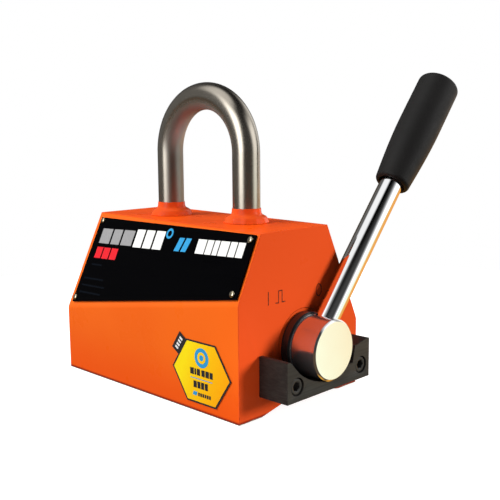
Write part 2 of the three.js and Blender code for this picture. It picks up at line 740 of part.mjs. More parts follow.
function shackle() {
  const section = new THREE.Shape();
  section.absarc(0, 0, SHACKLE_BAR_RADIUS, 0, 2 * Math.PI, false);
  const options = { steps: 36, curveSegments: 9, extrudePath: new ShackleLine() };
  return part('shackle', new THREE.ExtrudeGeometry(section, options), stainless);
}

// Painted weld bead around the foot of a leg, with a sleeve of paint above it.
function shackleWeld(name, side) {
  const inner = SHACKLE_BAR_RADIUS + GAP;
  const z0 = BODY_HEIGHT + GAP;
  const profile = [
    [inner, z0],
    [WELD_RADIUS, z0],
    [WELD_RADIUS - 0.2, z0 + 1.2],
    [WELD_RADIUS - 1.4, z0 + 3],
    [WELD_RADIUS - 3.1, z0 + 4.2],
    [inner + 0.7, z0 + WELD_HEIGHT],
    [inner + 0.5, z0 + WELD_SLEEVE_TOP],
    [inner, z0 + WELD_SLEEVE_TOP],
    [inner, z0],
  ];
  const geometry = turnedZ(profile, FINE_SEGMENTS);
  geometry.translate(SHACKLE_X + side * SHACKLE_HALF_SPACING, 0, 0);
  return part(name, geometry, orangePaint);
}

// ---------------------------------------------------------------- plate, rivets and sticker

function nameplate() {
  const shape = new THREE.Shape(PLATE_CORNERS.map((corner) => new THREE.Vector2(corner.x, corner.y)));
  const blank = new THREE.ExtrudeGeometry(shape, { depth: PLATE_THICKNESS, bevelEnabled: false });
  blank.translate(0, 0, GAP);
  blank.applyMatrix4(PLATE_FRAME);
  const tools = RIVET_PLACES.map((place) => inPlateFrame(rodZ(RIVET_HOLE_RADIUS, -1, OVERSHOOT, 12), place));
  return part('nameplate', cut(blank, tools), plateBlack);
}

function nameplateRivets() {
  const seat = GAP + PLATE_THICKNESS + GAP;
  const profile = [
    [0, -RIVET_SHANK_LENGTH],
    [RIVET_SHANK_RADIUS, -RIVET_SHANK_LENGTH],
    [RIVET_SHANK_RADIUS, seat],
    [RIVET_HEAD_RADIUS, seat],
    [RIVET_HEAD_RADIUS * 0.9, seat + 0.5],
    [RIVET_HEAD_RADIUS * 0.6, seat + 0.9],
    [0, seat + 1.15],
  ];
  return RIVET_PLACES.map((place, i) => {
    return part(`nameplate_rivet_${i + 1}`, inPlateFrame(turnedZ(profile, 16), place), chrome);
  });
}

// Six-sided sticker on the upright front, with a tab on its upper left edge.
function sticker() {
  const middle = { x: 49.2, z: 22.3 };
  const reach = 23.4; // from the middle to the left and right corners
  const halfTop = 11.6;
  const halfHeight = 17.4;
  const tab = { low: 0.42, high: 0.98, out: 6.2 }; // along the upper left edge, and how far it stands out
  const left = new THREE.Vector2(-reach, 0);
  const top = new THREE.Vector2(-halfTop, halfHeight);
  const edge = top.clone().sub(left);
  const outward = new THREE.Vector2(-edge.y, edge.x).normalize().multiplyScalar(tab.out);
  const tabLow = left.clone().addScaledVector(edge, tab.low);
  const tabHigh = left.clone().addScaledVector(edge, tab.high);
  const outline = [
    left,
    new THREE.Vector2(-halfTop, -halfHeight),
    new THREE.Vector2(halfTop, -halfHeight),
    new THREE.Vector2(reach, 0),
    new THREE.Vector2(halfTop, halfHeight),
    top,
    tabHigh,
    tabHigh.clone().add(outward),
    tabLow.clone().add(outward),
    tabLow,
  ];
  const options = { depth: STICKER_THICKNESS, bevelEnabled: false };
  const geometry = new THREE.ExtrudeGeometry(new THREE.Shape(outline), options);
  geometry.rotateX(Math.PI / 2);
  geometry.translate(middle.x, -HALF_WIDTH - GAP, middle.z);
  return part('test_sticker', geometry, stickerYellow);
}

// ---------------------------------------------------------------- assembly

const liftingMagnet = new THREE.Group();
liftingMagnet.add(housing(), poleGapStrip(), ...statorMagnets(), statorRetainer());
liftingMagnet.add(frontCover(), frontBush(), shaftSeal());
liftingMagnet.add(thrustWasher('front_thrust_washer', 1, JOURNAL_RADIUS));
liftingMagnet.add(thrustWasher('rear_thrust_washer', -1, REAR_JOURNAL_RADIUS));
liftingMagnet.add(rearCover(), rearBush(), rearRetainingRing());
liftingMagnet.add(rotorGroup());
liftingMagnet.add(stopBlock(), ...blockScrews());
liftingMagnet.add(shackle(), shackleWeld('shackle_weld_left', -1), shackleWeld('shackle_weld_right', 1));
liftingMagnet.add(nameplate(), ...nameplateRivets(), sticker());

const bounds = new THREE.Box3().setFromObject(liftingMagnet, true);
const centre = bounds.getCenter(new THREE.Vector3());
liftingMagnet.position.set(-centre.x, -centre.y, -bounds.min.z);
liftingMagnet.updateMatrixWorld(true);

export default liftingMagnet;
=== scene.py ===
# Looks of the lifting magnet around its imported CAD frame. Metres, +Z up, lever end on +X, nameplate on -Y.
import json
import math

import bmesh
import bpy
from mathutils import Matrix, Vector, noise


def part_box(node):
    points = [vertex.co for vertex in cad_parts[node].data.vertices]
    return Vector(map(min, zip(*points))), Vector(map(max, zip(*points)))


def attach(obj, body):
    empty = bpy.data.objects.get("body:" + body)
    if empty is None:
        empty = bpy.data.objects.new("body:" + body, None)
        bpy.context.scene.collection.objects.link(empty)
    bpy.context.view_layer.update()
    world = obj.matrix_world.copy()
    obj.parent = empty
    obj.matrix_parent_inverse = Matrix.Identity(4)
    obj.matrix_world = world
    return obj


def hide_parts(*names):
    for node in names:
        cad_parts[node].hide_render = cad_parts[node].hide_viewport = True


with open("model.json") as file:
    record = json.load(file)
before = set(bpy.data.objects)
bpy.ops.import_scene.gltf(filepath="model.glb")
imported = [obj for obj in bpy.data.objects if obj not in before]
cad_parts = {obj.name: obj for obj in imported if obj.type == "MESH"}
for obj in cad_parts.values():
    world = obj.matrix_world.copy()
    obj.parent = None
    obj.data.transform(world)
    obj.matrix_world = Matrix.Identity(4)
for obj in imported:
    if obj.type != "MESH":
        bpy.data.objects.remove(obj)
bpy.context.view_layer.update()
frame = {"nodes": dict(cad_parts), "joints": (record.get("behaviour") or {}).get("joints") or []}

# ---------------- sizes, in metres, and places from the frame

MM = 0.001
FIXED = "magnet_body"
TURNING = "lever_and_rotor"

BODY_LOW, BODY_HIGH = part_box("housing")
MID_X = (BODY_LOW.x + BODY_HIGH.x) / 2
MID_Y = (BODY_LOW.y + BODY_HIGH.y) / 2
END_X = BODY_HIGH.x
FRONT_Y = BODY_LOW.y
TOP_Z = BODY_HIGH.z
BODY_LENGTH = BODY_HIGH.x - BODY_LOW.x
AXIS_Z = frame["joints"][0]["pos_m"][2]
LEVER_REST = math.radians(40.4)

HUB_LOW, HUB_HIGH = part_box("lever_hub")
HUB_RADIUS = 16.9 * MM
FLANGE_RADIUS = 18.6 * MM
FLANGE_LENGTH = 5.8 * MM
ROD_LOW, ROD_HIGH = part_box("lever_rod")
ROD_X = (ROD_LOW.x + ROD_HIGH.x) / 2
ROD_RADIUS = (ROD_HIGH.x - ROD_LOW.x) / 2
SPIGOT_RADIUS = 4 * MM
ROD_SHOULDER = 11 * MM
ROD_TOP = 186 * MM
GRIP_START = 111.4 * MM
GRIP_TOP = 192.2 * MM

SHACKLE_LOW, SHACKLE_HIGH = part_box("shackle")
SHACKLE_X = (SHACKLE_LOW.x + SHACKLE_HIGH.x) / 2
SHACKLE_BAR = (SHACKLE_HIGH.y - SHACKLE_LOW.y) / 2
SHACKLE_HALF = (SHACKLE_HIGH.x - SHACKLE_LOW.x) / 2 - SHACKLE_BAR
SHACKLE_BEND_Z = SHACKLE_HIGH.z - SHACKLE_BAR - SHACKLE_HALF

CREASE_LOW = 40 * MM
CREASE_HIGH = 64 * MM
SLANT = 0.482

# ---------------- node helpers


class Tree:
    """Short calls for the nodes that the materials and the world share. place is the default vector."""

    def __init__(self, tree, place_output):
        self.tree = tree
        self.nodes = tree.nodes
        self.nodes.clear()
        self.place = self.node("ShaderNodeTexCoord").outputs[place_output]

    def link(self, source, target):
        self.tree.links.new(source, target)

    def feed(self, socket, value):
        if hasattr(value, "is_linked"):
            self.link(value, socket)
        elif isinstance(value, tuple) and socket.type == "RGBA":
            socket.default_value = (*value, 1.0)
        else:
            socket.default_value = value

    def node(self, kind, inputs=None, **settings):
        """A new node with those settings, and its inputs fed with values or links."""
        node = self.nodes.new(kind)
        for name, value in settings.items():
            setattr(node, name, value)
        for key, value in (inputs or {}).items():
            self.feed(node.inputs[key], value)
        return node

    def stretched(self, scale, place=None):
        return self.node("ShaderNodeMapping", {"Scale": scale, "Vector": place or self.place}).outputs[0]

    def noise(self, scale, detail=3.0, roughness=0.5, place=None):
        inputs = {"Scale": scale, "Detail": detail, "Roughness": roughness, "Vector": place or self.place}
        return self.node("ShaderNodeTexNoise", inputs).outputs["Fac"]

    def ramp(self, source, stops):
        node = self.node("ShaderNodeValToRGB", {"Fac": source})
        elements = node.color_ramp.elements
        while len(elements) < len(stops):
            elements.new(0.5)
        for element, (position, value) in zip(elements, stops):
            element.position = position
            colour = value if isinstance(value, tuple) else (value, value, value)
            element.color = (*colour, 1.0)
        return node.outputs["Color"]

    def mix(self, factor, first, second):
        return self.node("ShaderNodeMix", {0: factor, 6: first, 7: second}, data_type="RGBA").outputs[2]

    def math(self, operation, first, second=0.0):
        return self.node("ShaderNodeMath", {0: first, 1: second}, operation=operation).outputs[0]

    def times(self, first, second):
        return self.math("MULTIPLY", first, second)

    def plus(self, first, second):
        return self.math("ADD", first, second)

    def minus(self, first, second):
        return self.math("SUBTRACT", first, second)

    def dot(self, direction):
        inputs = {0: self.place, 1: direction}
        return self.node("ShaderNodeVectorMath", inputs, operation="DOT_PRODUCT").outputs["Value"]

    def step(self, source, low, high):
        """0 below low, 1 above high, smooth between; or the other way round where low is above high."""
        ends = (0.0, 1.0) if low < high else (1.0, 0.0)
        inputs = {"Value": source, "From Min": min(low, high), "From Max": max(low, high)}
        inputs.update({"To Min": ends[0], "To Max": ends[1]})
        return self.node("ShaderNodeMapRange", inputs, interpolation_type="SMOOTHSTEP").outputs[0]

    def toward(self, direction, low, high):
        """A step on how far the place lies in that direction."""
        return self.step(self.dot(direction), low, high)


class Shader(Tree):
    """A material on one Principled surface."""

    def __init__(self, name):
        self.material = bpy.data.materials.new(name)
        self.material.use_nodes = True
        super().__init__(self.material.node_tree, "Object")
        self.surface = self.node("ShaderNodeBsdfPrincipled")
        self.node("ShaderNodeOutputMaterial", {0: self.surface.outputs[0]})

    def finish(self, **values):
        """The material, with those plain values on the surface's own sockets."""
        for name, value in values.items():
            self.surface.inputs[name.replace("_", " ")].default_value = value
        return self.material

    def axis(self, letter, place=None):
        return self.node("ShaderNodeSeparateXYZ", {0: place or self.place}).outputs[letter]

    def colour(self, source):
        self.link(source, self.surface.inputs["Base Color"])

    def roughness(self, source, low, high):
        self.link(self.ramp(source, [(0.3, low), (0.7, high)]), self.surface.inputs["Roughness"])

    def patchy(self, pattern, dark, light, smooth, rough):
        """Colour and roughness that both follow one pattern."""
        self.colour(self.mix(pattern, dark, light))
        self.roughness(pattern, smooth, rough)

    def bump(self, source, strength, distance=0.1 * MM):
        inputs = {"Strength": strength, "Distance": distance, "Height": source}
        self.link(self.node("ShaderNodeBump", inputs).outputs[0], self.surface.inputs["Normal"])


# ---------------- materials

PAINT_LIGHT = (0.87, 0.138, 0.009)
PAINT_DEEP = (0.84, 0.122, 0.008)
# The next two colours are painted shade: the paint as it looks on the lever end, and on the top and low down.
PAINT_END_SHADE = (0.85, 0.093, 0.017)
PAINT_TOP_LOW_SHADE = (0.83, 0.086, 0.005)
# A dark red painted shade line along the bottom edge.
PAINT_FOOT_EDGE_SHADE = (0.24, 0.014, 0.006)
# Painted shade: the trim takes the redder tone of the paint on the lever end and top.
TRIM_SHADE_DEEP = (0.74, 0.080, 0.012)
TRIM_SHADE_LIGHT = (0.80, 0.092, 0.014)
GROUND_STEEL = (0.36, 0.35, 0.34)
GROUND_STEEL_LIGHT = (0.55, 0.54, 0.52)
SOFT_FILM = {"Specular_IOR_Level": 0.12, "IOR": 1.25}
# How high the painted shade towards the foot reaches, and how strong it gets.
LOW_SHADE_Z = 34 * MM
LOW_SHADE_SHARE = 0.8
# Heights of the painted shade line along the bottom edge.
FOOT_SHADE_Z = 0.5 * MM
FOOT_SHADE_CLEAR_Z = 2.2 * MM
WEAR_RAGGED = 0.7 * MM


def paint_colour(shader):
    """Orange with broad, faint variation, and painted shade that makes it redder on the lever end, on the top
    and towards the foot.
    """
    broad = shader.step(shader.noise(14.0, 2.0), 0.35, 0.65)
    paint = shader.mix(broad, PAINT_DEEP, PAINT_LIGHT)
    # Painted shade: redder low down, fading out upwards.
    low = shader.times(shader.step(shader.axis("Z"), LOW_SHADE_Z, 2 * MM), LOW_SHADE_SHARE)
    # Painted shade: redder on the lever end and on the top face.
    end = shader.step(shader.axis("X"), END_X - 0.9 * MM, END_X - 0.1 * MM)
    top = shader.step(shader.axis("Z"), TOP_Z - 0.9 * MM, TOP_Z - 0.1 * MM)
    paint = shader.mix(shader.math("MAXIMUM", top, low), paint, PAINT_TOP_LOW_SHADE)
    return shader.mix(end, paint, PAINT_END_SHADE)


def body_paint():
    """Semi-gloss paint with a faint orange peel and a painted shade line along the bottom edge, worn to
    ground steel on the two pole faces underneath.
    """
    shader = Shader("body_paint")
    ground = shader.noise(300.0, 4.0, 0.6, shader.stretched((0.15, 6.0, 1.0)))
    steel = shader.mix(ground, GROUND_STEEL, GROUND_STEEL_LIGHT)
    ragged = shader.times(shader.noise(240.0, 4.0), WEAR_RAGGED)
    painted = shader.step(shader.minus(shader.axis("Z"), ragged), 0.0, 0.15 * MM)
    # Painted shade: a dark line along the bottom edge, just above the bare pole faces.
    above_foot_shade = shader.step(shader.axis("Z"), FOOT_SHADE_Z, FOOT_SHADE_CLEAR_Z)
    paint = shader.mix(above_foot_shade, PAINT_FOOT_EDGE_SHADE, paint_colour(shader))
    shader.colour(shader.mix(painted, steel, paint))
    shader.link(shader.minus(1.0, painted), shader.surface.inputs["Metallic"])
    shader.roughness(shader.noise(60.0, 4.0), 0.26, 0.34)
    shader.bump(shader.noise(620.0, 2.0), 0.02, 0.4 * MM)
    return shader.finish(**SOFT_FILM)


def trim_paint():
    """The same paint on the weld beads and the end cover, where it lies thicker and glossier, in the redder
    tone that the painted shade gives the lever end and top.
    """
    shader = Shader("trim_paint")
    shader.colour(shader.mix(shader.noise(14.0, 2.0), TRIM_SHADE_DEEP, TRIM_SHADE_LIGHT))
    shader.roughness(shader.noise(60.0, 4.0), 0.10, 0.17)
    shader.bump(shader.noise(300.0, 2.0), 0.03, 0.4 * MM)
    return shader.finish(Specular_IOR_Level=0.3, IOR=1.3)


def chrome():
    """Bright chrome plate, with faint haze, hairline polishing marks and a warm edge tint."""
    shader = Shader("lever_chrome")
    shader.patchy(shader.noise(45.0), (0.84, 0.85, 0.87), (0.93, 0.93, 0.93), 0.03, 0.06)
    shader.bump(shader.noise(1800.0, 2.0, 0.5, shader.stretched((1.0, 0.2, 0.2))), 0.012)
    return shader.finish(Metallic=1.0, Specular_Tint=(1.0, 0.72, 0.36, 1.0))


def polished_face():
    """The hub's flat front: warm satin metal with faint haze."""
    shader = Shader("hub_face")
    shader.patchy(shader.noise(80.0, 4.0), (0.97, 0.96, 0.90), (1.0, 0.99, 0.94), 0.14, 0.22)
    return shader.finish(Metallic=1.0)


def hub_barrel():
    """Turned chrome on the barrel, its reflections drawn out a little by the lathe's marks."""
    shader = Shader("hub_barrel")
    marks = shader.noise(10.0, 4.0, 0.6, shader.stretched((140.0, 2.0, 2.0)))
    shader.patchy(marks, (0.62, 0.60, 0.62), (0.72, 0.71, 0.73), 0.15, 0.24)
    shader.bump(marks, 0.03)
    return shader.finish(Metallic=0.96)


def black_flange():
    """Blackened and polished steel behind the barrel."""
    shader = Shader("hub_flange")
    shader.patchy(shader.noise(130.0, 4.0), (0.006, 0.006, 0.007), (0.014, 0.014, 0.015), 0.10, 0.2)
    shader.bump(shader.noise(1500.0, 2.0), 0.02)
    return shader.finish(Specular_IOR_Level=0.6)


STAINLESS_DARK = (0.42, 0.375, 0.31)
STAINLESS_WARM = (0.51, 0.465, 0.395)
STAINLESS_GRAIN = (0.58, 0.54, 0.48)
# Painted shade: darker on the side of the bar that faces into the bend, greyer and less metallic inside the
# bend.
STAINLESS_INSIDE_SHADE = (0.25, 0.235, 0.21)
BEND_SHADE_GREY = (0.30, 0.285, 0.27)
BEND_SHADE_DULLS = 0.8
# UV X where the bar faces the inside of the bend, and how far to each side of it that side fades out.
BAR_INSIDE = 0.75
INSIDE_REACH = (0.24, 0.06)
BEND_SHADE_RISE = (SHACKLE_BEND_Z - 6 * MM, SHACKLE_BEND_Z + 14 * MM)


def satin_stainless():
    """Bent stainless bar, brushed round its section, with painted shade on the side that faces into the bend,
    greyer and less metallic inside the bend.
    """
    shader = Shader("satin_stainless")
    uv = shader.node("ShaderNodeTexCoord").outputs["UV"]
    grain = shader.noise(6.0, 5.0, 0.65, shader.stretched((3.0, 420.0, 1.0), uv))
    warm = shader.mix(shader.noise(55.0), STAINLESS_DARK, STAINLESS_WARM)
    brushed = shader.mix(shader.ramp(grain, [(0.3, 0.0), (0.7, 0.35)]), warm, STAINLESS_GRAIN)
    from_inside = shader.math("ABSOLUTE", shader.minus(shader.axis("X", uv), BAR_INSIDE))
    # Painted shade on the side of the bar that faces into the bend.
    inside = shader.step(from_inside, *INSIDE_REACH)
    # Painted shade inside the bend, which also dulls the metal there so that it reflects less.
    scale = shader.times(inside, shader.step(shader.axis("Z"), *BEND_SHADE_RISE))
    shader.colour(shader.mix(scale, shader.mix(inside, brushed, STAINLESS_INSIDE_SHADE), BEND_SHADE_GREY))
    metal = shader.minus(1.0, shader.times(scale, BEND_SHADE_DULLS))
    shader.link(metal, shader.surface.inputs["Metallic"])
    shader.roughness(shader.plus(shader.times(grain, 0.4), inside), 0.25, 0.42)
    shader.bump(grain, 0.06)
    return shader.finish()


def dark_steel():
    """Black oxide on milled steel: warm grey where the cutter's lines catch the light."""
    shader = Shader("dark_steel")
    lines = shader.noise(9.0, 4.0, 0.6, shader.stretched((30.0, 2.0, 160.0)))
    patches = shader.noise(90.0, 4.0)
    base = shader.mix(patches, (0.010, 0.0095, 0.009), (0.020, 0.0185, 0.017))
    shader.colour(shader.mix(shader.ramp(lines, [(0.4, 0.0), (0.7, 0.4)]), base, (0.060, 0.056, 0.050)))
    shader.roughness(patches, 0.42, 0.58)
    shader.bump(lines, 0.10)
    return shader.finish(Metallic=0.25, Specular_IOR_Level=0.5)


def screw_black():
    shader = Shader("screw_black")
    shader.patchy(shader.noise(400.0), (0.016, 0.016, 0.016), (0.040, 0.038, 0.036), 0.34, 0.5)
    shader.bump(shader.noise(2600.0, 2.0), 0.06)
    return shader.finish(Metallic=0.4)


def grip_plastic():
    """Satin black moulding with a fine spark-eroded texture."""
    shader = Shader("grip_plastic")
    shader.colour(shader.mix(shader.noise(40.0, 2.0), (0.011, 0.011, 0.011), (0.0165, 0.016, 0.016)))
    shader.roughness(shader.noise(160.0, 4.0), 0.42, 0.54)
    shader.bump(shader.noise(1500.0, 4.0, 0.6), 0.12, 0.3 * MM)
    return shader.finish(Specular_IOR_Level=0.15)


def plate_black():
    """Gloss black print on aluminium, with faint rub marks along the plate."""
    shader = Shader("plate_black")
    marks = shader.noise(30.0, 5.0, 0.6, shader.stretched((0.3, 2.0, 2.0)))
    shader.patchy(marks, (0.0008, 0.0008, 0.0012), (0.0016, 0.0016, 0.0020), 0.24, 0.36)
    shader.bump(shader.noise(900.0, 2.0), 0.02)
    return shader.finish(Specular_IOR_Level=0.014)


def print_ink(name, low, high):
    """A printed colour with slight unevenness in the ink."""
    shader = Shader(name)
    shader.colour(shader.mix(shader.noise(700.0), low, high))
    shader.roughness(shader.noise(250.0), 0.38, 0.5)
    return shader.finish(**SOFT_FILM)


FILM_YELLOWS = [
    (0.0, (0.93, 0.72, 0.008)),
    (0.3, (0.92, 0.54, 0.004)),
    (0.9, (0.90, 0.32, 0.002)),
]
FILM_START_X = 14 * MM
FILM_PER_X = 21.0
FILM_PER_Z = -9.0


def sticker_yellow():
    """Yellow film that deepens to amber towards its lower right."""
    shader = Shader("sticker_yellow")
    along = shader.times(shader.minus(shader.axis("X"), FILM_START_X), FILM_PER_X)
    across = shader.plus(along, shader.times(shader.axis("Z"), FILM_PER_Z))
    speck = shader.plus(across, shader.times(shader.noise(500.0, 2.0), 0.06))
    shader.colour(shader.ramp(speck, FILM_YELLOWS))
    shader.roughness(shader.noise(200.0), 0.3, 0.4)
    return shader.finish(**SOFT_FILM)


def engraved():
    shader = Shader("engraved_mark")
    shader.patchy(shader.noise(900.0), (0.055, 0.012, 0.006), (0.12, 0.022, 0.008), 0.6, 0.8)
    return shader.finish()


def rivet_metal():
    shader = Shader("rivet_aluminium")
    # Painted reflection: the warm, brass-like tint gives the domes gold glints.
    shader.patchy(shader.noise(700.0), (0.55, 0.47, 0.32), (0.70, 0.61, 0.44), 0.06, 0.12)
    shader.bump(shader.noise(2500.0, 2.0), 0.03)
    return shader.finish(Metallic=1.0)


def machined_steel():
    """Turned and ground steel with fine cutter rings."""
    shader = Shader("machined_steel")
    rings = shader.noise(12.0, 4.0, 0.6, shader.stretched((140.0, 4.0, 4.0)))
    shader.colour(shader.mix(rings, (0.34, 0.34, 0.35), (0.52, 0.52, 0.52)))
    shader.roughness(shader.noise(90.0), 0.26, 0.42)
    shader.bump(rings, 0.08)
    return shader.finish(Metallic=1.0)


def nickel():
    shader = Shader("magnet_nickel")
    shader.patchy(shader.noise(120.0), (0.56, 0.53, 0.47), (0.70, 0.67, 0.60), 0.16, 0.28)
    return shader.finish(Metallic=1.0)


def brass():
    shader = Shader("brass_strip")
    patches = shader.noise(110.0, 4.0, 0.6, shader.stretched((0.3, 2.0, 2.0)))
    shader.patchy(patches, (0.50, 0.31, 0.10), (0.70, 0.48, 0.19), 0.26, 0.42)
    shader.bump(patches, 0.05)
    return shader.finish(Metallic=1.0)


def bronze():
    """Sintered bronze: dull, with open pores."""
    shader = Shader("bronze")
    pores = shader.noise(1600.0, 4.0, 0.7)
    shader.patchy(pores, (0.30, 0.17, 0.06), (0.52, 0.33, 0.13), 0.4, 0.6)
    shader.bump(pores, 0.15, 0.2 * MM)
    return shader.finish(Metallic=1.0)


def seal_rubber():
    shader = Shader("seal_rubber")
    dust = shader.noise(500.0, 4.0)
    shader.patchy(dust, (0.012, 0.012, 0.012), (0.035, 0.034, 0.033), 0.6, 0.8)
    shader.bump(dust, 0.1, 0.2 * MM)
    return shader.finish()


BODY_PAINT = body_paint()
TRIM_PAINT = trim_paint()
CHROME = chrome()
HUB_FACE = polished_face()
HUB_BARREL = hub_barrel()
HUB_FLANGE = black_flange()
STAINLESS = satin_stainless()
DARK_STEEL = dark_steel()
SCREW_BLACK = screw_black()
GRIP = grip_plastic()
PLATE_BLACK = plate_black()
RIVET_WARM_REFLECTION = rivet_metal()
MACHINED = machined_steel()
NICKEL = nickel()
BRASS = brass()
BRONZE = bronze()
SEAL = seal_rubber()
ENGRAVED = engraved()
INK_WHITE = print_ink("ink_white", (0.74, 0.74, 0.74), (0.86, 0.86, 0.85))
INK_GREY = print_ink("ink_grey", (0.25, 0.25, 0.26), (0.33, 0.33, 0.34))
INK_BLUE = print_ink("ink_blue", (0.024, 0.28, 0.58), (0.038, 0.33, 0.66))
INK_RED = print_ink("ink_red", (0.62, 0.010, 0.020), (0.74, 0.016, 0.026))
INK_DARK = print_ink("ink_dark", (0.022, 0.022, 0.024), (0.036, 0.035, 0.036))
INK_DIM = print_ink("ink_dim", (0.002, 0.0033, 0.006), (0.0033, 0.005, 0.009))
STICKER_YELLOW = sticker_yellow()

# ---------------- mesh helpers

SMOOTH_ANGLE = math.radians(35)
BEVEL_ANGLE = math.radians(24)
FLAT_ANGLE = math.radians(0.4)
WELD_DISTANCE = 0.002 * MM


def circle(radius, steps, centre=(0.0, 0.0)):
    """Points round a circle."""
    points = []
    for step in range(steps):
        angle = 2 * math.pi * step / steps
        points.append((centre[0] + radius * math.cos(angle), centre[1] + radius * math.sin(angle)))
    return points


def quarter(steps):
    """Angles from just above 0 to a right angle."""
    return [math.pi / 2 * step / steps for step in range(1, steps + 1)]


def band(low, high):
    """Faces between two rings of points. One of them may be a single point."""
    faces = []
    count = max(len(low), len(high))
    for step in range(count):
        after = (step + 1) % count
        if len(low) == 1:
            faces.append((low[0], high[step], high[after]))
        elif len(high) == 1:
            faces.append((low[step], low[after], high[0]))
        else:
            faces.append((low[step], low[after], high[after], high[step]))
    return faces


def scene_object(name, data):
    item = bpy.data.objects.new(name, data)
    bpy.context.scene.collection.objects.link(item)
    return item


def smooth_object(name, mesh):
    """An object in the scene whose mesh is smooth except at its sharp edges."""
    for face in mesh.polygons:
        face.use_smooth = True
    mesh.set_sharp_from_angle(angle=SMOOTH_ANGLE)
    return scene_object(name, mesh)


def mesh_piece(name, verts, faces, matrix=Matrix.Identity(4), uvs=None):
    mesh = bpy.data.meshes.new(name)
    mesh.from_pydata([matrix @ Vector(v) for v in verts], [], faces)
    mesh.validate()
    work = bmesh.new()
    work.from_mesh(mesh)
    bmesh.ops.recalc_face_normals(work, faces=work.faces)
    work.to_mesh(mesh)
    work.free()
    if uvs:
        layer = mesh.uv_layers.new(name="UVMap")
        for loop in mesh.loops:
            layer.data[loop.index].uv = uvs[loop.vertex_index]
    return smooth_object(name, mesh)


def dress(piece, material, body, slot, *nodes):
    """Gives a piece its material and its body, and hides the CAD nodes it stands for. The slot is not used.
    """
    if material:
        piece.data.materials.clear()
        piece.data.materials.append(material)
    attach(piece, body)
    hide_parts(*nodes)


def lathe(name, profile, matrix, steps=96, ripple=None):
    """A closed profile of (radius, height) pairs turned about the matrix's Z axis."""
    verts = []
    uvs = []
    rings = []
    for row, (radius, height) in enumerate(profile):
        if radius < 1e-7:
            rings.append([len(verts)])
            verts.append((0.0, 0.0, height))
            uvs.append((0.5, row / len(profile)))
            continue
        ring = []
        for step in range(steps):
            angle = 2 * math.pi * step / steps
            r, h = ripple(radius, height, angle) if ripple else (radius, height)
            ring.append(len(verts))
            verts.append((r * math.cos(angle), r * math.sin(angle), h))
            uvs.append((step / steps, row / len(profile)))
        rings.append(ring)
    faces = []
    pairs = list(zip(rings, rings[1:]))
    if len(rings[0]) > 1 and len(rings[-1]) > 1:
        pairs.append((rings[-1], rings[0]))
    for low, high in pairs:
        faces += band(low, high)
    return mesh_piece(name, verts, faces, matrix, uvs)


def rounded(profile, radius, steps=4):
    """The profile with each inner corner cut by a small arc, where its two sides leave room."""
    points = [Vector(p) for p in profile]
    result = [profile[0]]
    for before, corner, after in zip(points, points[1:], points[2:]):
        back = before - corner
        ahead = after - corner
        reach = min(radius, back.length * 0.45, ahead.length * 0.45)
        if back.angle(ahead) > math.radians(165):
            result.append(corner)
            continue
        start = corner + back.normalized() * reach
        end = corner + ahead.normalized() * reach
        for step in range(steps + 1):
            t = step / steps
            result.append(start * (1 - t) ** 2 + corner * 2 * t * (1 - t) + end * t ** 2)
    result.append(profile[-1])
    return result


def face_frame(origin, right, up, out):
    """A frame at that point whose X, Y and Z axes run along those three directions."""
    return Matrix.Translation(origin) @ Matrix((right, up, out)).transposed().to_4x4()


def along_x(x, y, z):
    """A frame at that point whose Z axis runs along +X."""
    return Matrix.Translation((x, y, z)) @ Matrix.Rotation(math.pi / 2, 4, "Y")


def bevelled_copy(name, node, width, weight=None, segments=3):
    """A copy of a CAD node's mesh with its sharp edges rounded, each by weight(edge) of the width."""
    mesh = frame["nodes"][node].data.copy()
    mesh.name = name
    work = bmesh.new()
    work.from_mesh(mesh)
    bmesh.ops.remove_doubles(work, verts=work.verts, dist=WELD_DISTANCE)
    edges = [e for e in work.edges if len(e.link_faces) == 2]
    bmesh.ops.dissolve_limit(work, angle_limit=FLAT_ANGLE, verts=work.verts, edges=edges)
    layer = work.edges.layers.float.new("bevel_weight_edge")
    for edge in work.edges:
        if len(edge.link_faces) == 2 and edge.calc_face_angle(0.0) > BEVEL_ANGLE:
            edge[layer] = weight(edge) if weight else 1.0
    work.to_mesh(mesh)
    work.free()
    mesh.materials.clear()
    piece = smooth_object(name, mesh)
    bevel = piece.modifiers.new("rounded edges", "BEVEL")
    bevel.width = width
    bevel.segments = segments
    bevel.limit_method = "WEIGHT"
    bevel.harden_normals = True
    return piece


def bake_modifiers(piece):
    """Applies a piece's modifiers to its mesh."""
    graph = bpy.context.evaluated_depsgraph_get()
    mesh = bpy.data.meshes.new_from_object(piece.evaluated_get(graph))
    piece.modifiers.clear()
    piece.data = mesh


# ---------------- body

HOUSING_EDGE = 1.0 * MM
HOLE_SHARE = 0.12
BORE_REACH = 22.5 * MM
SOCKET_REACH = 9 * MM
SCREW_HOLES = (14 * MM, 26 * MM)
SHORT_EDGE = 0.9 * MM


def housing():
    """The painted body. Its outer edges are rounded, and the edges of its holes only eased."""
    bore = Vector((MID_Y, AXIS_Z))

    def weight(edge):
        middle = (edge.verts[0].co + edge.verts[1].co) / 2
        at_bore = (Vector((middle.y, middle.z)) - bore).length < BORE_REACH
        at_screw = middle.x > END_X - MM and SCREW_HOLES[0] < middle.z < SCREW_HOLES[1]
        at_socket = middle.z > TOP_Z - 0.1 * MM and abs(middle.y - MID_Y) < SOCKET_REACH
        if at_bore or at_screw or at_socket:
            return HOLE_SHARE
        if edge.calc_length() < SHORT_EDGE and abs(middle.x - MID_X) < BODY_LENGTH / 2 - MM:
            return 0.0
        return 1.0

    piece = bevelled_copy("housing_body", "housing", HOUSING_EDGE, weight)
    dress(piece, BODY_PAINT, FIXED, "body_paint", "housing")


def end_cover():
    piece = bevelled_copy("end_cover", "front_bearing_cover", 0.12 * MM, segments=2)
    dress(piece, TRIM_PAINT, FIXED, "body_paint", "front_bearing_cover")


WELD_RADIUS = 13.6 * MM
WELD_FOOT = -0.1 * MM
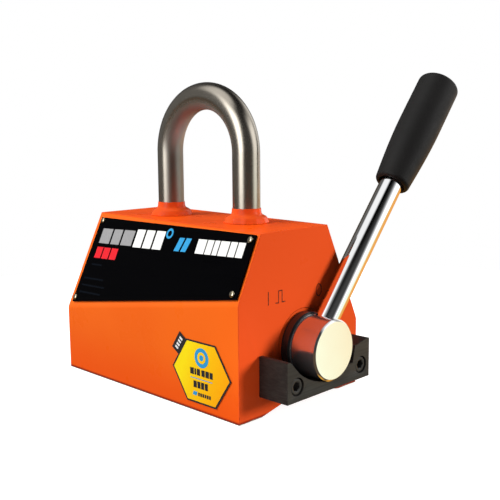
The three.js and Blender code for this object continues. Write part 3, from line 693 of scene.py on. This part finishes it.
# (radius, height) up the bead, then (thickness, height) up the sleeve of paint on the bar, all in mm.
BEAD = [(13.3, 0.35), (12.7, 1.2), (12.4, 2.2), (11.8, 3.2), (10.8, 3.9), (9.7, 4.3), (9.0, 4.9)]
SLEEVE = [(0.5, 5.9), (0.38, 7.6), (0.25, 8.5), (0.0, 8.6)]
LUMP = 0.95 * MM
SMALL_LUMP = 0.15 * MM
LUMP_LIFT = 0.25
WAVY_LINE = 0.35 * MM


def weld(which, side):
    """A lumpy painted bead round a shackle foot, with a sleeve of paint that ends in a wavy line."""
    inner = SHACKLE_BAR + 0.05 * MM
    profile = [(inner, WELD_FOOT), (WELD_RADIUS, WELD_FOOT)]
    profile += [(radius * MM, height * MM) for radius, height in BEAD]
    profile += [(inner + thickness * MM, height * MM) for thickness, height in SLEEVE]

    def ripple(radius, height, angle):
        if radius <= inner + 1e-6 and height < MM:
            return radius, height
        share = (radius - inner) / (WELD_RADIUS - inner)
        around = Vector((math.cos(angle), math.sin(angle), 0.7 * side)) * 2.1
        lump = (noise.noise(around) * LUMP + noise.noise(around * 2.6) * SMALL_LUMP) * share
        line = noise.noise(around * 1.7) * WAVY_LINE * min(1.0, height / (8 * MM))
        lift = lump * LUMP_LIFT * min(1.0, max(0.0, height / (3 * MM)))
        return radius + lump, height + line + lift

    place = Matrix.Translation((SHACKLE_X + side * SHACKLE_HALF, MID_Y, TOP_Z))
    piece = lathe(f"weld_bead_{which}", profile, place, 120, ripple)
    smooth = piece.modifiers.new("smooth", "SUBSURF")
    smooth.render_levels = 1
    dress(piece, TRIM_PAINT, FIXED, "body_paint", f"shackle_weld_{which}")


LEG_STEPS = 16
CROWN_STEPS = 72


def shackle_path():
    """Points and directions along the bar: up one leg, round the crown, down the other."""
    rise = (SHACKLE_BEND_Z - SHACKLE_LOW.z) / LEG_STEPS
    leg = [SHACKLE_LOW.z + rise * step for step in range(LEG_STEPS + 1)]
    samples = [(Vector((SHACKLE_X - SHACKLE_HALF, MID_Y, z)), Vector((0, 0, 1))) for z in leg]
    centre = Vector((SHACKLE_X, MID_Y, SHACKLE_BEND_Z))
    for step in range(1, CROWN_STEPS):
        angle = math.pi - math.pi * step / CROWN_STEPS
        out = Vector((math.cos(angle), 0, math.sin(angle)))
        samples.append((centre + out * SHACKLE_HALF, Vector((math.sin(angle), 0, -math.cos(angle)))))
    samples += [(Vector((SHACKLE_X + SHACKLE_HALF, MID_Y, z)), Vector((0, 0, -1))) for z in reversed(leg)]
    return samples


def shackle():
    """The bent bar. Its UV X runs once round the section, and its UV Y along the bar."""
    sides = 64
    uv_length = 0.3
    verts = []
    uvs = []
    rings = []
    samples = shackle_path()
    travelled = 0.0
    across = Vector((0, 1, 0))
    for index, (point, direction) in enumerate(samples):
        if index:
            travelled += (point - samples[index - 1][0]).length
        rings.append(range(index * sides, (index + 1) * sides))
        other = direction.cross(across)
        for side in range(sides):
            angle = 2 * math.pi * side / sides
            offset = across * math.cos(angle) + other * math.sin(angle)
            verts.append(point + offset * SHACKLE_BAR)
            uvs.append((side / sides, travelled / uv_length))
    faces = []
    for low, high in zip(rings, rings[1:]):
        faces += band(low, high)
    faces.append(tuple(rings[0]))
    faces.append(tuple(rings[-1]))
    piece = mesh_piece("shackle_bar", verts, faces, uvs=uvs)
    dress(piece, STAINLESS, FIXED, "satin_stainless", "shackle")


# ---------------- stop block and screws


def stop_block():
    piece = bevelled_copy("stop_block_milled", "stop_block", 0.35 * MM, segments=2)
    dress(piece, DARK_STEEL, FIXED, "dark_steel", "stop_block")


def cap_screw(which, turn):
    """Socket cap screw: rounded head with a chamfered hexagon socket, and its shank."""
    node = f"stop_block_screw_{which}"
    low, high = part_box(node)
    middle = (low + high) / 2
    head = (high.y - low.y) / 2
    head_length = 5.1 * MM
    shank = 2.8 * MM
    socket = head * 0.58
    depth = 3.0 * MM
    place = along_x(high.x, middle.y, middle.z)
    sides = 48
    verts = []
    faces = []

    def ring(radius, height, hexagon=False):
        start = len(verts)
        for side in range(sides):
            angle = 2 * math.pi * side / sides + turn
            r = radius
            if hexagon:
                part = (angle - turn) % (math.pi / 3) - math.pi / 6
                r = radius * math.cos(math.pi / 6) / math.cos(part)
            verts.append((r * math.cos(angle), r * math.sin(angle), height))
        return list(range(start, start + sides))

    length = high.x - low.x
    rings = [
        ring(socket * 0.25, -depth - 0.5 * MM, True),
        ring(socket, -depth, True),
        ring(socket, -0.35 * MM, True),
        ring(socket * 1.12, 0.0),
        ring(head - 0.5 * MM, 0.0),
        ring(head - 0.15 * MM, -0.15 * MM),
        ring(head, -0.5 * MM),
        ring(head, -head_length + 0.2 * MM),
        ring(head - 0.2 * MM, -head_length),
        ring(shank, -head_length),
        ring(shank, -length + 0.4 * MM),
        ring(shank - 0.4 * MM, -length),
    ]
    for low_ring, high_ring in zip(rings, rings[1:]):
        faces += band(low_ring, high_ring)
    faces.append(tuple(rings[0]))
    faces.append(tuple(rings[-1]))
    piece = mesh_piece(f"cap_screw_{which}", verts, faces, place)
    dress(piece, SCREW_BLACK, FIXED, "dark_steel", node)


# ---------------- lever

# The lever's frame at rest: its origin on the rotor's axis, and +Z along the rod.
LEVER_FRAME = Matrix.Translation((ROD_X, MID_Y, AXIS_Z)) @ Matrix.Rotation(-LEVER_REST, 4, "X")
HUB_CHAMFER = 0.9 * MM
FLANGE_CHAMFER = 0.6 * MM
HUB_BORE = 10.3 * MM
HUB_WEB = 6 * MM
DRILL_RADIUS = ROD_RADIUS + 0.25 * MM
DRILL_START = 9 * MM
DRILL_END = 25 * MM
RIM, FRONT_FACE, BARREL, FLANGE = range(4)


def hub_zone(point):
    """Which of the hub's four materials a point takes."""
    radius = math.hypot(point.y - MID_Y, point.z - AXIS_Z)
    if point.x > HUB_HIGH.x - 0.02 * MM:
        return FRONT_FACE
    if point.x > HUB_HIGH.x - HUB_CHAMFER - 0.05 * MM:
        return RIM
    if point.x < END_X + FLANGE_LENGTH + 0.1 * MM and radius > HUB_RADIUS - 0.5 * MM:
        return FLANGE
    return BARREL


def hub():
    """Chromed hub with a flange, a barrel and a bevelled flat front, drilled for the rod."""
    length = HUB_HIGH.x - END_X
    gap = HUB_LOW.x - END_X
    bore_end = length - HUB_WEB
    profile = [
        (0.0, bore_end),
        (HUB_BORE, bore_end),
        (HUB_BORE, gap),
        (FLANGE_RADIUS - FLANGE_CHAMFER, gap),
        (FLANGE_RADIUS, gap + 0.5 * MM),
        (FLANGE_RADIUS, FLANGE_LENGTH - FLANGE_CHAMFER),
        (FLANGE_RADIUS - FLANGE_CHAMFER, FLANGE_LENGTH),
        (HUB_RADIUS + 0.3 * MM, FLANGE_LENGTH),
        (HUB_RADIUS, FLANGE_LENGTH + 0.3 * MM),
        (HUB_RADIUS, length - HUB_CHAMFER),
        (HUB_RADIUS - HUB_CHAMFER, length - 0.1 * MM),
        (HUB_RADIUS - HUB_CHAMFER - 0.2 * MM, length),
        (0.0, length),
    ]
    piece = lathe("lever_hub_chrome", profile, along_x(END_X, MID_Y, AXIS_Z), 144)
    hole = [(0, DRILL_START), (DRILL_RADIUS, DRILL_START), (DRILL_RADIUS, DRILL_END), (0, DRILL_END)]
    drill = lathe("hub_drill", hole, LEVER_FRAME, 72)
    cut = piece.modifiers.new("rod hole", "BOOLEAN")
    cut.operation = "DIFFERENCE"
    cut.solver = "EXACT"
    cut.object = drill
    bake_modifiers(piece)
    bpy.data.objects.remove(drill)
    mesh = piece.data
    mesh.materials.clear()
    for material in (CHROME, HUB_FACE, HUB_BARREL, HUB_FLANGE):
        mesh.materials.append(material)
    for face in mesh.polygons:
        face.use_smooth = True
        face.material_index = hub_zone(face.center)
    mesh.set_sharp_from_angle(angle=math.radians(20))
    dress(piece, None, TURNING, "lever_chrome", "lever_hub")


def rod():
    """The chromed bar. It throws no soft light back, so its shadow on the end face stays dark."""
    profile = [
        (0.0, 0.0),
        (SPIGOT_RADIUS, 0.0),
        (SPIGOT_RADIUS, ROD_SHOULDER),
        (ROD_RADIUS, ROD_SHOULDER),
        (ROD_RADIUS, ROD_TOP - MM),
        (ROD_RADIUS - MM, ROD_TOP),
        (0.0, ROD_TOP),
    ]
    piece = lathe("lever_rod_chrome", rounded(profile, 0.3 * MM), LEVER_FRAME)
    piece.visible_diffuse = False
    dress(piece, CHROME, TURNING, "lever_chrome", "lever_rod")


def grip():
    """Moulded grip: rounded lower lip with a recess round the rod, swelling sides and a flat-domed top."""
    bore = ROD_RADIUS + 0.3 * MM
    low = 10.6 * MM
    high = 13.0 * MM
    lip = 2.4 * MM
    edge = 2.6 * MM
    dome = 1.9 * MM
    length = GRIP_TOP - GRIP_START
    profile = [(0.0, ROD_TOP + 0.3 * MM), (bore, ROD_TOP + 0.3 * MM), (bore, GRIP_START + 2.4 * MM)]
    profile += [(bore + 0.6 * MM, GRIP_START + 1.0 * MM), (low - lip, GRIP_START + 0.1 * MM)]
    for angle in quarter(8):
        profile.append((low - lip * (1 - math.sin(angle)), GRIP_START + lip * (1 - math.cos(angle))))
    for step in range(1, 31):
        share = step / 30
        swell = math.sin(min(1.0, share / 0.6) * math.pi / 2)
        profile.append((low + (high - low) * swell, GRIP_START + lip + (length - lip - edge - dome) * share))
    for angle in quarter(8):
        radius = high - edge * (1 - math.cos(angle))
        profile.append((radius, GRIP_TOP - dome - edge * (1 - math.sin(angle))))
    for step in range(1, 7):
        radius = (high - edge) * (1 - step / 6)
        profile.append((radius, GRIP_TOP - dome * (radius / (high - edge)) ** 2))
    piece = lathe("lever_grip_moulded", profile, LEVER_FRAME)
    dress(piece, GRIP, TURNING, "grip_plastic", "lever_grip")


# ---------------- nameplate and its print


def plate_matrix():
    """The slanted face's frame: origin at the crease's low end, +X along the crease, +Z out of the face."""
    origin = Vector((BODY_LOW.x, FRONT_Y, CREASE_LOW))
    far = Vector((BODY_HIGH.x, FRONT_Y, CREASE_HIGH))
    top = Vector((BODY_LOW.x, FRONT_Y + SLANT * (TOP_Z - CREASE_LOW), TOP_Z))
    along = (far - origin).normalized()
    out = along.cross(top - origin).normalized()
    return face_frame(origin, along, out.cross(along), out)


PLATE = plate_matrix()
PLATE_TOP = 1.3 * MM
INK_THICKNESS = 0.05 * MM


class Print:
    """Flat printed shapes on one surface, gathered into one piece."""

    def __init__(self, name, matrix, height):
        self.name = name
        self.matrix = matrix
        self.height = height
        self.verts = []
        self.faces = []
        self.inks = []
        self.used = []

    def shape(self, corners, ink, lift=0.0):
        """A thin closed slab with that outline, in the surface's own two directions."""
        if ink not in self.used:
            self.used.append(ink)
        start = len(self.verts)
        count = len(corners)
        for z in (self.height + lift, self.height + lift + INK_THICKNESS):
            for u, v in corners:
                self.verts.append((u, v, z))
        under = range(start, start + count)
        over = range(start + count, start + 2 * count)
        self.faces.append(tuple(reversed(under)))
        self.faces.append(tuple(over))
        self.faces += band(under, over)
        self.inks += [self.used.index(ink)] * (count + 2)

    def bar(self, u, v, width, height, ink, slope=0.0, lift=0.0):
        """A block that leans forward by slope, with its lower left corner at (u, v)."""
        lean = slope * height
        top = [(u + width + lean, v + height), (u + lean, v + height)]
        self.shape([(u, v), (u + width, v), *top], ink, lift)

    def disc(self, u, v, radius, ink, lift=0.0, sides=48):
        self.shape(circle(radius, sides, (u, v)), ink, lift)

    def ring(self, u, v, outer, inner, ink, lift=0.0, sides=48):
        within = circle(inner, sides, (u, v))
        rim = circle(outer, sides, (u, v))
        for side in range(sides):
            after = (side + 1) % sides
            self.shape([within[side], rim[side], rim[after], within[after]], ink, lift)

    def line(self, start, end, width, ink):
        a, b = Vector(start), Vector(end)
        along = (b - a).normalized()
        side = Vector((-along.y, along.x)) * width / 2
        self.shape([a - side, b - side, b + side, a + side], ink)

    def finish(self, body, slot):
        mesh = bpy.data.meshes.new(self.name)
        mesh.from_pydata([self.matrix @ Vector(v) for v in self.verts], [], self.faces)
        for ink in self.used:
            mesh.materials.append(ink)
        for face, ink in zip(mesh.polygons, self.inks):
            face.material_index = ink
        piece = scene_object(self.name, mesh)
        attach(piece, body)
        return piece


def to_plate(x, z):
    """The plate's own coordinates of the point on its face with that x and z, both from the body's middle."""
    point = Vector((MID_X + x * MM, 0.0, z * MM))
    origin = PLATE.translation
    out = PLATE.to_3x3().col[2]
    y = origin.y - ((point.x - origin.x) * out.x + (point.z - origin.z) * out.z) / out.y
    local = PLATE.inverted() @ Vector((point.x, y, point.z))
    return local.x, local.y


def nameplate():
    piece = bevelled_copy("nameplate_sheet", "nameplate", 0.2 * MM, segments=2)
    dress(piece, PLATE_BLACK, FIXED, "plate_black", "nameplate")


def nameplate_print():
    """Plain slanted blocks where a plate of this kind carries its lettering."""
    sheet = Print("nameplate_print", PLATE, PLATE_TOP)
    # The blocks climb towards the lever end with the plate's top edge.
    rise = 0.043

    def row(x, z, height, widths, gap, ink, lean=0.0):
        for width in widths:
            after = x + width
            far_z = z + rise * width
            outline = [(x, z), (after, far_z), (after + lean, far_z + height), (x + lean, z + height)]
            sheet.shape([to_plate(*corner) for corner in outline], ink)
            x = after + gap
            z += rise * (width + gap)

    row(-66.3, 80.2, 9.0, [11.4, 9.4, 11.6], 1.8, INK_GREY)
    row(-28.2, 81.4, 10.4, [8.2, 8.2, 8.6], 1.7, INK_WHITE)
    row(-66.0, 71.2, 6.7, [7.0, 7.2, 7.2], 1.3, INK_RED)
    row(32.0, 84.1, 7.6, [7.4, 5.2, 4.0, 7.2, 5.2, 5.4], 0.9, INK_WHITE)
    row(12.8, 83.4, 7.5, [4.6, 4.6], 1.6, INK_BLUE, 2.2)
    u, v = to_plate(4.3, 92.2)
    sheet.ring(u, v, 3.2 * MM, 1.8 * MM, INK_BLUE)
    row(-66.0, 66.8, 0.9, [12.0], 0.0, INK_DIM)
    for line, width in enumerate([22.0, 26.0, 24.0]):
        row(-69.0, 58.2 - 4.2 * line, 0.9, [width], 0.0, INK_DIM)
    sheet.finish(FIXED, "plate_black")


RIVET_HEAD = 1.9 * MM
RIVET_DOME = 1.0 * MM
RIVET_SHANK = 1.1 * MM
RIVET_DEPTH = 6 * MM


def rivets():
    seat = PLATE_TOP + 0.3 * MM
    for number in range(1, 5):
        node = f"nameplate_rivet_{number}"
        low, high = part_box(node)
        middle = PLATE.inverted() @ ((low + high) / 2)
        place = PLATE @ Matrix.Translation((middle.x, middle.y, 0))
        profile = [(0.0, -RIVET_DEPTH), (RIVET_SHANK, -RIVET_DEPTH), (RIVET_SHANK, seat)]
        profile.append((RIVET_HEAD * 0.96, seat))
        for angle in [0.0, *quarter(8)]:
            profile.append((RIVET_HEAD * math.cos(angle), seat + 0.15 * MM + RIVET_DOME * math.sin(angle)))
        piece = lathe(f"rivet_domed_{number}", profile, place, 40)
        dress(piece, RIVET_WARM_REFLECTION, FIXED, "rivet_aluminium", node)


# ---------------- sticker and marks

# +X along the body, +Y up and +Z out, from the body's middle at z = 0.
FRONT = face_frame((MID_X, FRONT_Y, 0), (1, 0, 0), (0, 0, 1), (0, -1, 0))
# +X towards +Y, +Y up and +Z out of the lever end, from the same level.
LEVER_END = face_frame((END_X, MID_Y, 0), (0, 1, 0), (0, 0, 1), (1, 0, 0))


def hexagon(centre, reach, half_top, half_height, inset=0.0):
    scale = 1 - inset / half_height
    u, v = centre
    places = [(-reach, 0), (-half_top, -half_height), (half_top, -half_height)]
    places += [(reach, 0), (half_top, half_height), (-half_top, half_height)]
    return [(u + scale * a, v + scale * b) for a, b in places]


STICKER_X = 49.2 * MM
STICKER_Z = 22.3 * MM
STICKER_SIZE = (23.4 * MM, 11.6 * MM, 17.4 * MM)
STICKER_BORDER = 0.95 * MM
TAB_WIDTH = 6.2 * MM
TAB_ENDS = (0.42, 0.98)
TAB_BAR_START = 1.9 * MM
TAB_BAR_PITCH = 2.2 * MM
TAB_BAR_WIDTH = 1.3 * MM


def sticker_tab(face):
    """The dark tab on the sticker's upper left side, with four white bars."""
    reach, half_top, half_height = STICKER_SIZE
    left = Vector((STICKER_X - reach, STICKER_Z))
    edge = Vector((STICKER_X - half_top, STICKER_Z + half_height)) - left
    along = edge.normalized()
    out = Vector((-edge.y, edge.x)).normalized() * TAB_WIDTH
    low, high = [left + edge * share for share in TAB_ENDS]
    face.shape([low, high, high + out, low + out], INK_DARK)
    side = along * TAB_BAR_WIDTH
    tall = out * 0.42
    for number in range(4):
        start = low + along * (TAB_BAR_START + TAB_BAR_PITCH * number) + out * 0.28
        face.shape([start, start + side, start + side + tall, start + tall], INK_WHITE, INK_THICKNESS)


def sticker():
    """Six-sided sticker: dark border, yellow field, a tab, a ring in a disc, and bars for its lines."""
    face = Print("test_sticker_print", FRONT, 0.3 * MM)
    centre = (STICKER_X, STICKER_Z)
    face.shape(hexagon(centre, *STICKER_SIZE), INK_DARK)
    face.shape(hexagon(centre, *STICKER_SIZE, inset=STICKER_BORDER), STICKER_YELLOW, INK_THICKNESS)
    sticker_tab(face)
    above = 2 * INK_THICKNESS
    mark = (STICKER_X + 0.7 * MM, STICKER_Z + 8.6 * MM)
    face.disc(*mark, 5.5 * MM, INK_BLUE, above)
    face.ring(*mark, 3.2 * MM, 1.7 * MM, STICKER_YELLOW, 3 * INK_THICKNESS, 40)

    def bars(u, v, widths, gap, height, ink, slope=0.0):
        """Bars side by side from (u, v) off the centre, in mm. A width of 0 leaves a space."""
        for width in widths:
            if width:
                place = (STICKER_X + u * MM, STICKER_Z + v * MM)
                face.bar(*place, width * MM, height * MM, ink, slope, above)
            u += width + gap

    bars(-8.6, -1.6, [3.0, 1.3, 2.6, 0.0, 2.6, 2.8, 2.4], 0.55, 3.6, INK_DARK)
    bars(-6.0, -8.8, [2.6, 2.4, 2.4, 2.4], 0.55, 3.8, INK_DARK)
    bars(-8.6, -3.7, [17.6], 0.0, 0.4, INK_BLUE)
    bars(-6.8, -13.2, [3.2], 0.0, 2.2, INK_BLUE, 0.3)
    bars(-2.4, -13.2, [1.3] * 6, 0.45, 2.0, INK_DARK)
    piece = face.finish(FIXED, "sticker_film")
    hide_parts("test_sticker")


def end_marks():
    """Position marks of the lever: a stroke with a pulse on one side, a ring on the other."""
    face = Print("position_marks", LEVER_END, 0.01 * MM)
    stroke = 0.55 * MM

    def path(points, closed=False):
        scaled = [(u * MM, v * MM) for u, v in points]
        ends = scaled[1:] + (scaled[:1] if closed else [])
        for start, end in zip(scaled, ends):
            face.line(start, end, stroke, ENGRAVED)
            face.disc(*end, stroke / 2, ENGRAVED, sides=12)

    path([(-27.6, 60.4), (-27.6, 67.4)])
    path([(-22.0, 60.6), (-19.6, 60.6), (-19.6, 67.0), (-16.8, 67.0), (-16.8, 60.6), (-14.4, 60.6)])
    ring = []
    for step in range(24):
        angle = 2 * math.pi * step / 24
        ring.append((14.2 + 2.3 * math.cos(angle), 62.6 + 3.4 * math.sin(angle)))
    path(ring, True)
    face.finish(FIXED, "body_paint")


# ---------------- carried-over nodes

KEPT = [
    (MACHINED, "rotor_pole_upper rotor_pole_lower rotor_drive_plate rotor_rear_plate rear_bearing_cover"),
    (SCREW_BLACK, "rear_retaining_ring"),
    (BRASS, "pole_gap_strip stator_retainer"),
    (BRONZE, "front_bush rear_bush front_thrust_washer rear_thrust_washer"),
    (SEAL, "shaft_seal"),
]
KEPT_NUMBERED = [(NICKEL, "rotor_magnet"), (NICKEL, "stator_magnet"), (SCREW_BLACK, "rotor_plate_screw")]


def dress_kept_nodes():
    pairs = [(material, node) for material, nodes in KEPT for node in nodes.split()]
    pairs += [(material, f"{stem}_{number}") for material, stem in KEPT_NUMBERED for number in range(1, 5)]
    for material, node in pairs:
        piece = frame["nodes"][node]
        for material_slot in piece.material_slots:
            material_slot.material = material
        if not piece.material_slots:
            piece.data.materials.append(material)


# ---------------- floor, light and camera

FLOOR_RADIUS = 0.42
FLOOR_GLOW = 0.82


def studio_floor():
    """A pale round floor, lit a little from within so that shadows on it stay soft."""
    shader = Shader("studio_floor")
    shader.colour(shader.mix(shader.noise(3.0), (0.48, 0.48, 0.48), (0.52, 0.52, 0.52)))
    glow = {"Emission_Color": (1.0, 1.0, 1.0, 1.0), "Emission_Strength": FLOOR_GLOW}
    steps = 72
    verts = []
    for radius in (FLOOR_RADIUS * 0.5, FLOOR_RADIUS):
        verts += [(x, y, 0.0) for x, y in circle(radius, steps)]
    faces = [tuple(range(steps))]
    faces += band(range(steps), range(steps, 2 * steps))
    floor = mesh_piece("studio_floor", verts, faces)
    floor.data.materials.append(shader.finish(Roughness=0.9, Specular_IOR_Level=0.0, **glow))
    floor.location.z = -0.2 * MM
    floor.visible_diffuse = False
    floor.visible_glossy = False


# What shiny surfaces reflect. Each upright soft panel has (azimuth in degrees, half width, softness, level).
PANELS = [
    (-89, 0.12, 0.34, 3.6),
    (-145, 0.40, 0.50, 0.12),
    (38, 0.16, 0.40, 1.6),
    (90, 0.12, 0.25, 1.1),
]
PANEL_GAPS = 0.055
CREAM = (1.04, 1.18, 0.97)
GOLD = (0.95, 0.50, 0.14)
AMBER = (0.95, 0.48, 0.07)
DUSK = (0.10, 0.07, 0.045)

# Heights between which one zone fades into the next, for a direction one unit long.
PANEL_HEAD = (0.85, 0.45)
PANEL_FOOT = (-0.13, -0.06)
GLOW_FOOT = (-0.38, -0.6)
UNDER_LEVER_HEAD = (-0.64, -0.82)
STRAIGHT_DOWN_HEAD = (-0.85, -0.93)

# Zones that lie in one direction, each with the two values between which it fades in.
CEILING = ((-0.25, -0.35, 0.90), 0.82, 0.96)
LEVER_SIDE = ((0.34, 0.94, 0.0), 0.35, 0.85)
BESIDE_LEVER = ((-0.34, 0.94, 0.0), 0.46, 0.62)
UNDER_LEVER = ((-0.8, 0.6, 0.0), 0.12, 0.36)
BACKWARD = ((0.0, 1.0, 0.0), -0.14, 0.0)


def reflected_light(tree):
    """Dark studio with bright upright panels, a bright ceiling and a warm glow from the floor."""
    height = tree.dot((0.0, 0.0, 1.0))
    glow = PANEL_GAPS
    for azimuth, half, soft, level in PANELS:
        turn = math.radians(azimuth)
        across = tree.math("ABSOLUTE", tree.dot((-math.sin(turn), math.cos(turn), 0.0)))
        ahead = tree.dot((math.cos(turn), math.sin(turn), 0.25))
        panel = tree.times(tree.step(across, half + soft, half), tree.step(ahead, 0.0, 0.2))
        glow = tree.plus(glow, tree.times(panel, level))
    glow = tree.times(glow, tree.step(height, *PANEL_HEAD))
    glow = tree.times(glow, tree.step(height, *PANEL_FOOT))
    glow = tree.plus(glow, tree.toward(*CEILING))
    low = tree.mix(tree.toward(*LEVER_SIDE), DUSK, tree.mix(tree.toward(*BESIDE_LEVER), CREAM, GOLD))
    low = tree.mix(tree.step(height, *GLOW_FOOT), low, DUSK)
    under_lever = tree.times(tree.toward(*UNDER_LEVER), tree.step(height, *UNDER_LEVER_HEAD))
    straight_down = tree.times(tree.toward(*BACKWARD), tree.step(height, *STRAIGHT_DOWN_HEAD))
    low = tree.mix(tree.math("MAXIMUM", under_lever, straight_down), low, AMBER)
    return tree.mix(tree.step(height, *reversed(PANEL_FOOT)), glow, low)


FRONT_LEFT = ((-0.80, -0.60, 0.0), 0.12, 0.74)
FRONT_LEVEL = 0.74
ABOVE = ((-0.6, -0.1, 0.79), 0.2, 0.9)
TOP_LEVEL = 1.4
OFF_LEVER_END = ((1.0, 0.0, 0.0), 0.2, -0.3)
SHADE_LEVEL = 0.02


def soft_light(tree):
    """Broad light for matt surfaces: strongest from the front left and above, and none from the lever end."""
    front = tree.times(tree.toward(*FRONT_LEFT), FRONT_LEVEL)
    above = tree.times(tree.toward(*ABOVE), TOP_LEVEL)
    return tree.plus(tree.times(tree.plus(front, above), tree.toward(*OFF_LEVER_END)), SHADE_LEVEL)


def world_light():
    """White for the camera, broad soft light for matt surfaces, and panels on grey for shiny ones."""
    world = bpy.data.worlds.new("studio")
    bpy.context.scene.world = world
    world.use_nodes = True
    tree = Tree(world.node_tree, "Generated")

    def background(colour, strength=1.0):
        return tree.node("ShaderNodeBackground", {"Color": colour, "Strength": strength}).outputs[0]

    rays = tree.node("ShaderNodeLightPath")
    shown = background((0.82, 0.82, 0.83))
    for ray, light in (
        ("Is Diffuse Ray", background((1.0, 0.99, 0.97), soft_light(tree))),
        ("Is Glossy Ray", background(reflected_light(tree))),
        ("Is Camera Ray", background((1.0, 1.0, 1.0))),
    ):
        shown = tree.node("ShaderNodeMixShader", {0: rays.outputs[ray], 1: shown, 2: light}).outputs[0]
    tree.node("ShaderNodeOutputWorld", {0: shown})


# Each lamp: (name, the point it faces, the way to it from there, diameter, watts, colour).
LAMPS = [
    ("key", (MID_X, MID_Y, 0.06), (-0.55, -0.85, 0.9), 0.9, 15.5, (1.0, 0.98, 0.95)),
    ("side", (END_X, MID_Y, 0.05), (0.66, 0.46, 0.22), 0.28, 7.1, (1.0, 0.97, 0.95)),
    ("fill", (END_X, FRONT_Y + 0.02, 0.02), (0.06, -0.05, 0.0), 0.05, 0.019, (1.0, 0.9, 0.85)),
]


def studio_lights():
    for name, target, away, size, power, colour in LAMPS:
        light = bpy.data.lights.new(name, "AREA")
        light.shape = "DISK"
        light.size = size
        light.energy = power
        light.color = colour
        lamp = scene_object(name, light)
        lamp.location = Vector(target) + Vector(away)
        lamp.rotation_euler = (Vector(target) - lamp.location).to_track_quat("-Z", "Y").to_euler()
        lamp.visible_glossy = False


CAMERA_FROM_BODY = Vector((356.196, -327.141, 151.962)) * MM
CAMERA_AZIMUTH = math.radians(44.217)
CAMERA_DIP = math.radians(8.611)
CAMERA_ROLL = math.radians(-0.409)
# The lens's focal length and the sensor's width, in mm.
FOCAL_LENGTH = 56.9808
SENSOR = 36.0


def camera():
    data = bpy.data.cameras.new("camera")
    data.sensor_width = SENSOR
    data.lens = FOCAL_LENGTH
    data.clip_start = 0.01
    data.clip_end = 100.0
    place = Matrix.Translation(CAMERA_FROM_BODY + Vector((MID_X, MID_Y, 0.0)))
    facing = Matrix.Rotation(CAMERA_AZIMUTH, 4, "Z") @ Matrix.Rotation(math.pi / 2 - CAMERA_DIP, 4, "X")
    lens = scene_object("camera", data)
    lens.matrix_world = place @ facing @ Matrix.Rotation(CAMERA_ROLL, 4, "Z")
    bpy.context.scene.camera = lens


def colour_management():
    view = bpy.context.scene.view_settings
    view.view_transform = "Standard"
    view.look = "None"


camera()
colour_management()
studio_floor()
world_light()
studio_lights()
housing()
end_cover()
weld("left", -1)
weld("right", 1)
shackle()
stop_block()
cap_screw("left", 0.2)
cap_screw("right", 0.45)
hub()
rod()
grip()
nameplate()
nameplate_print()
rivets()
sticker()
end_marks()
dress_kept_nodes()
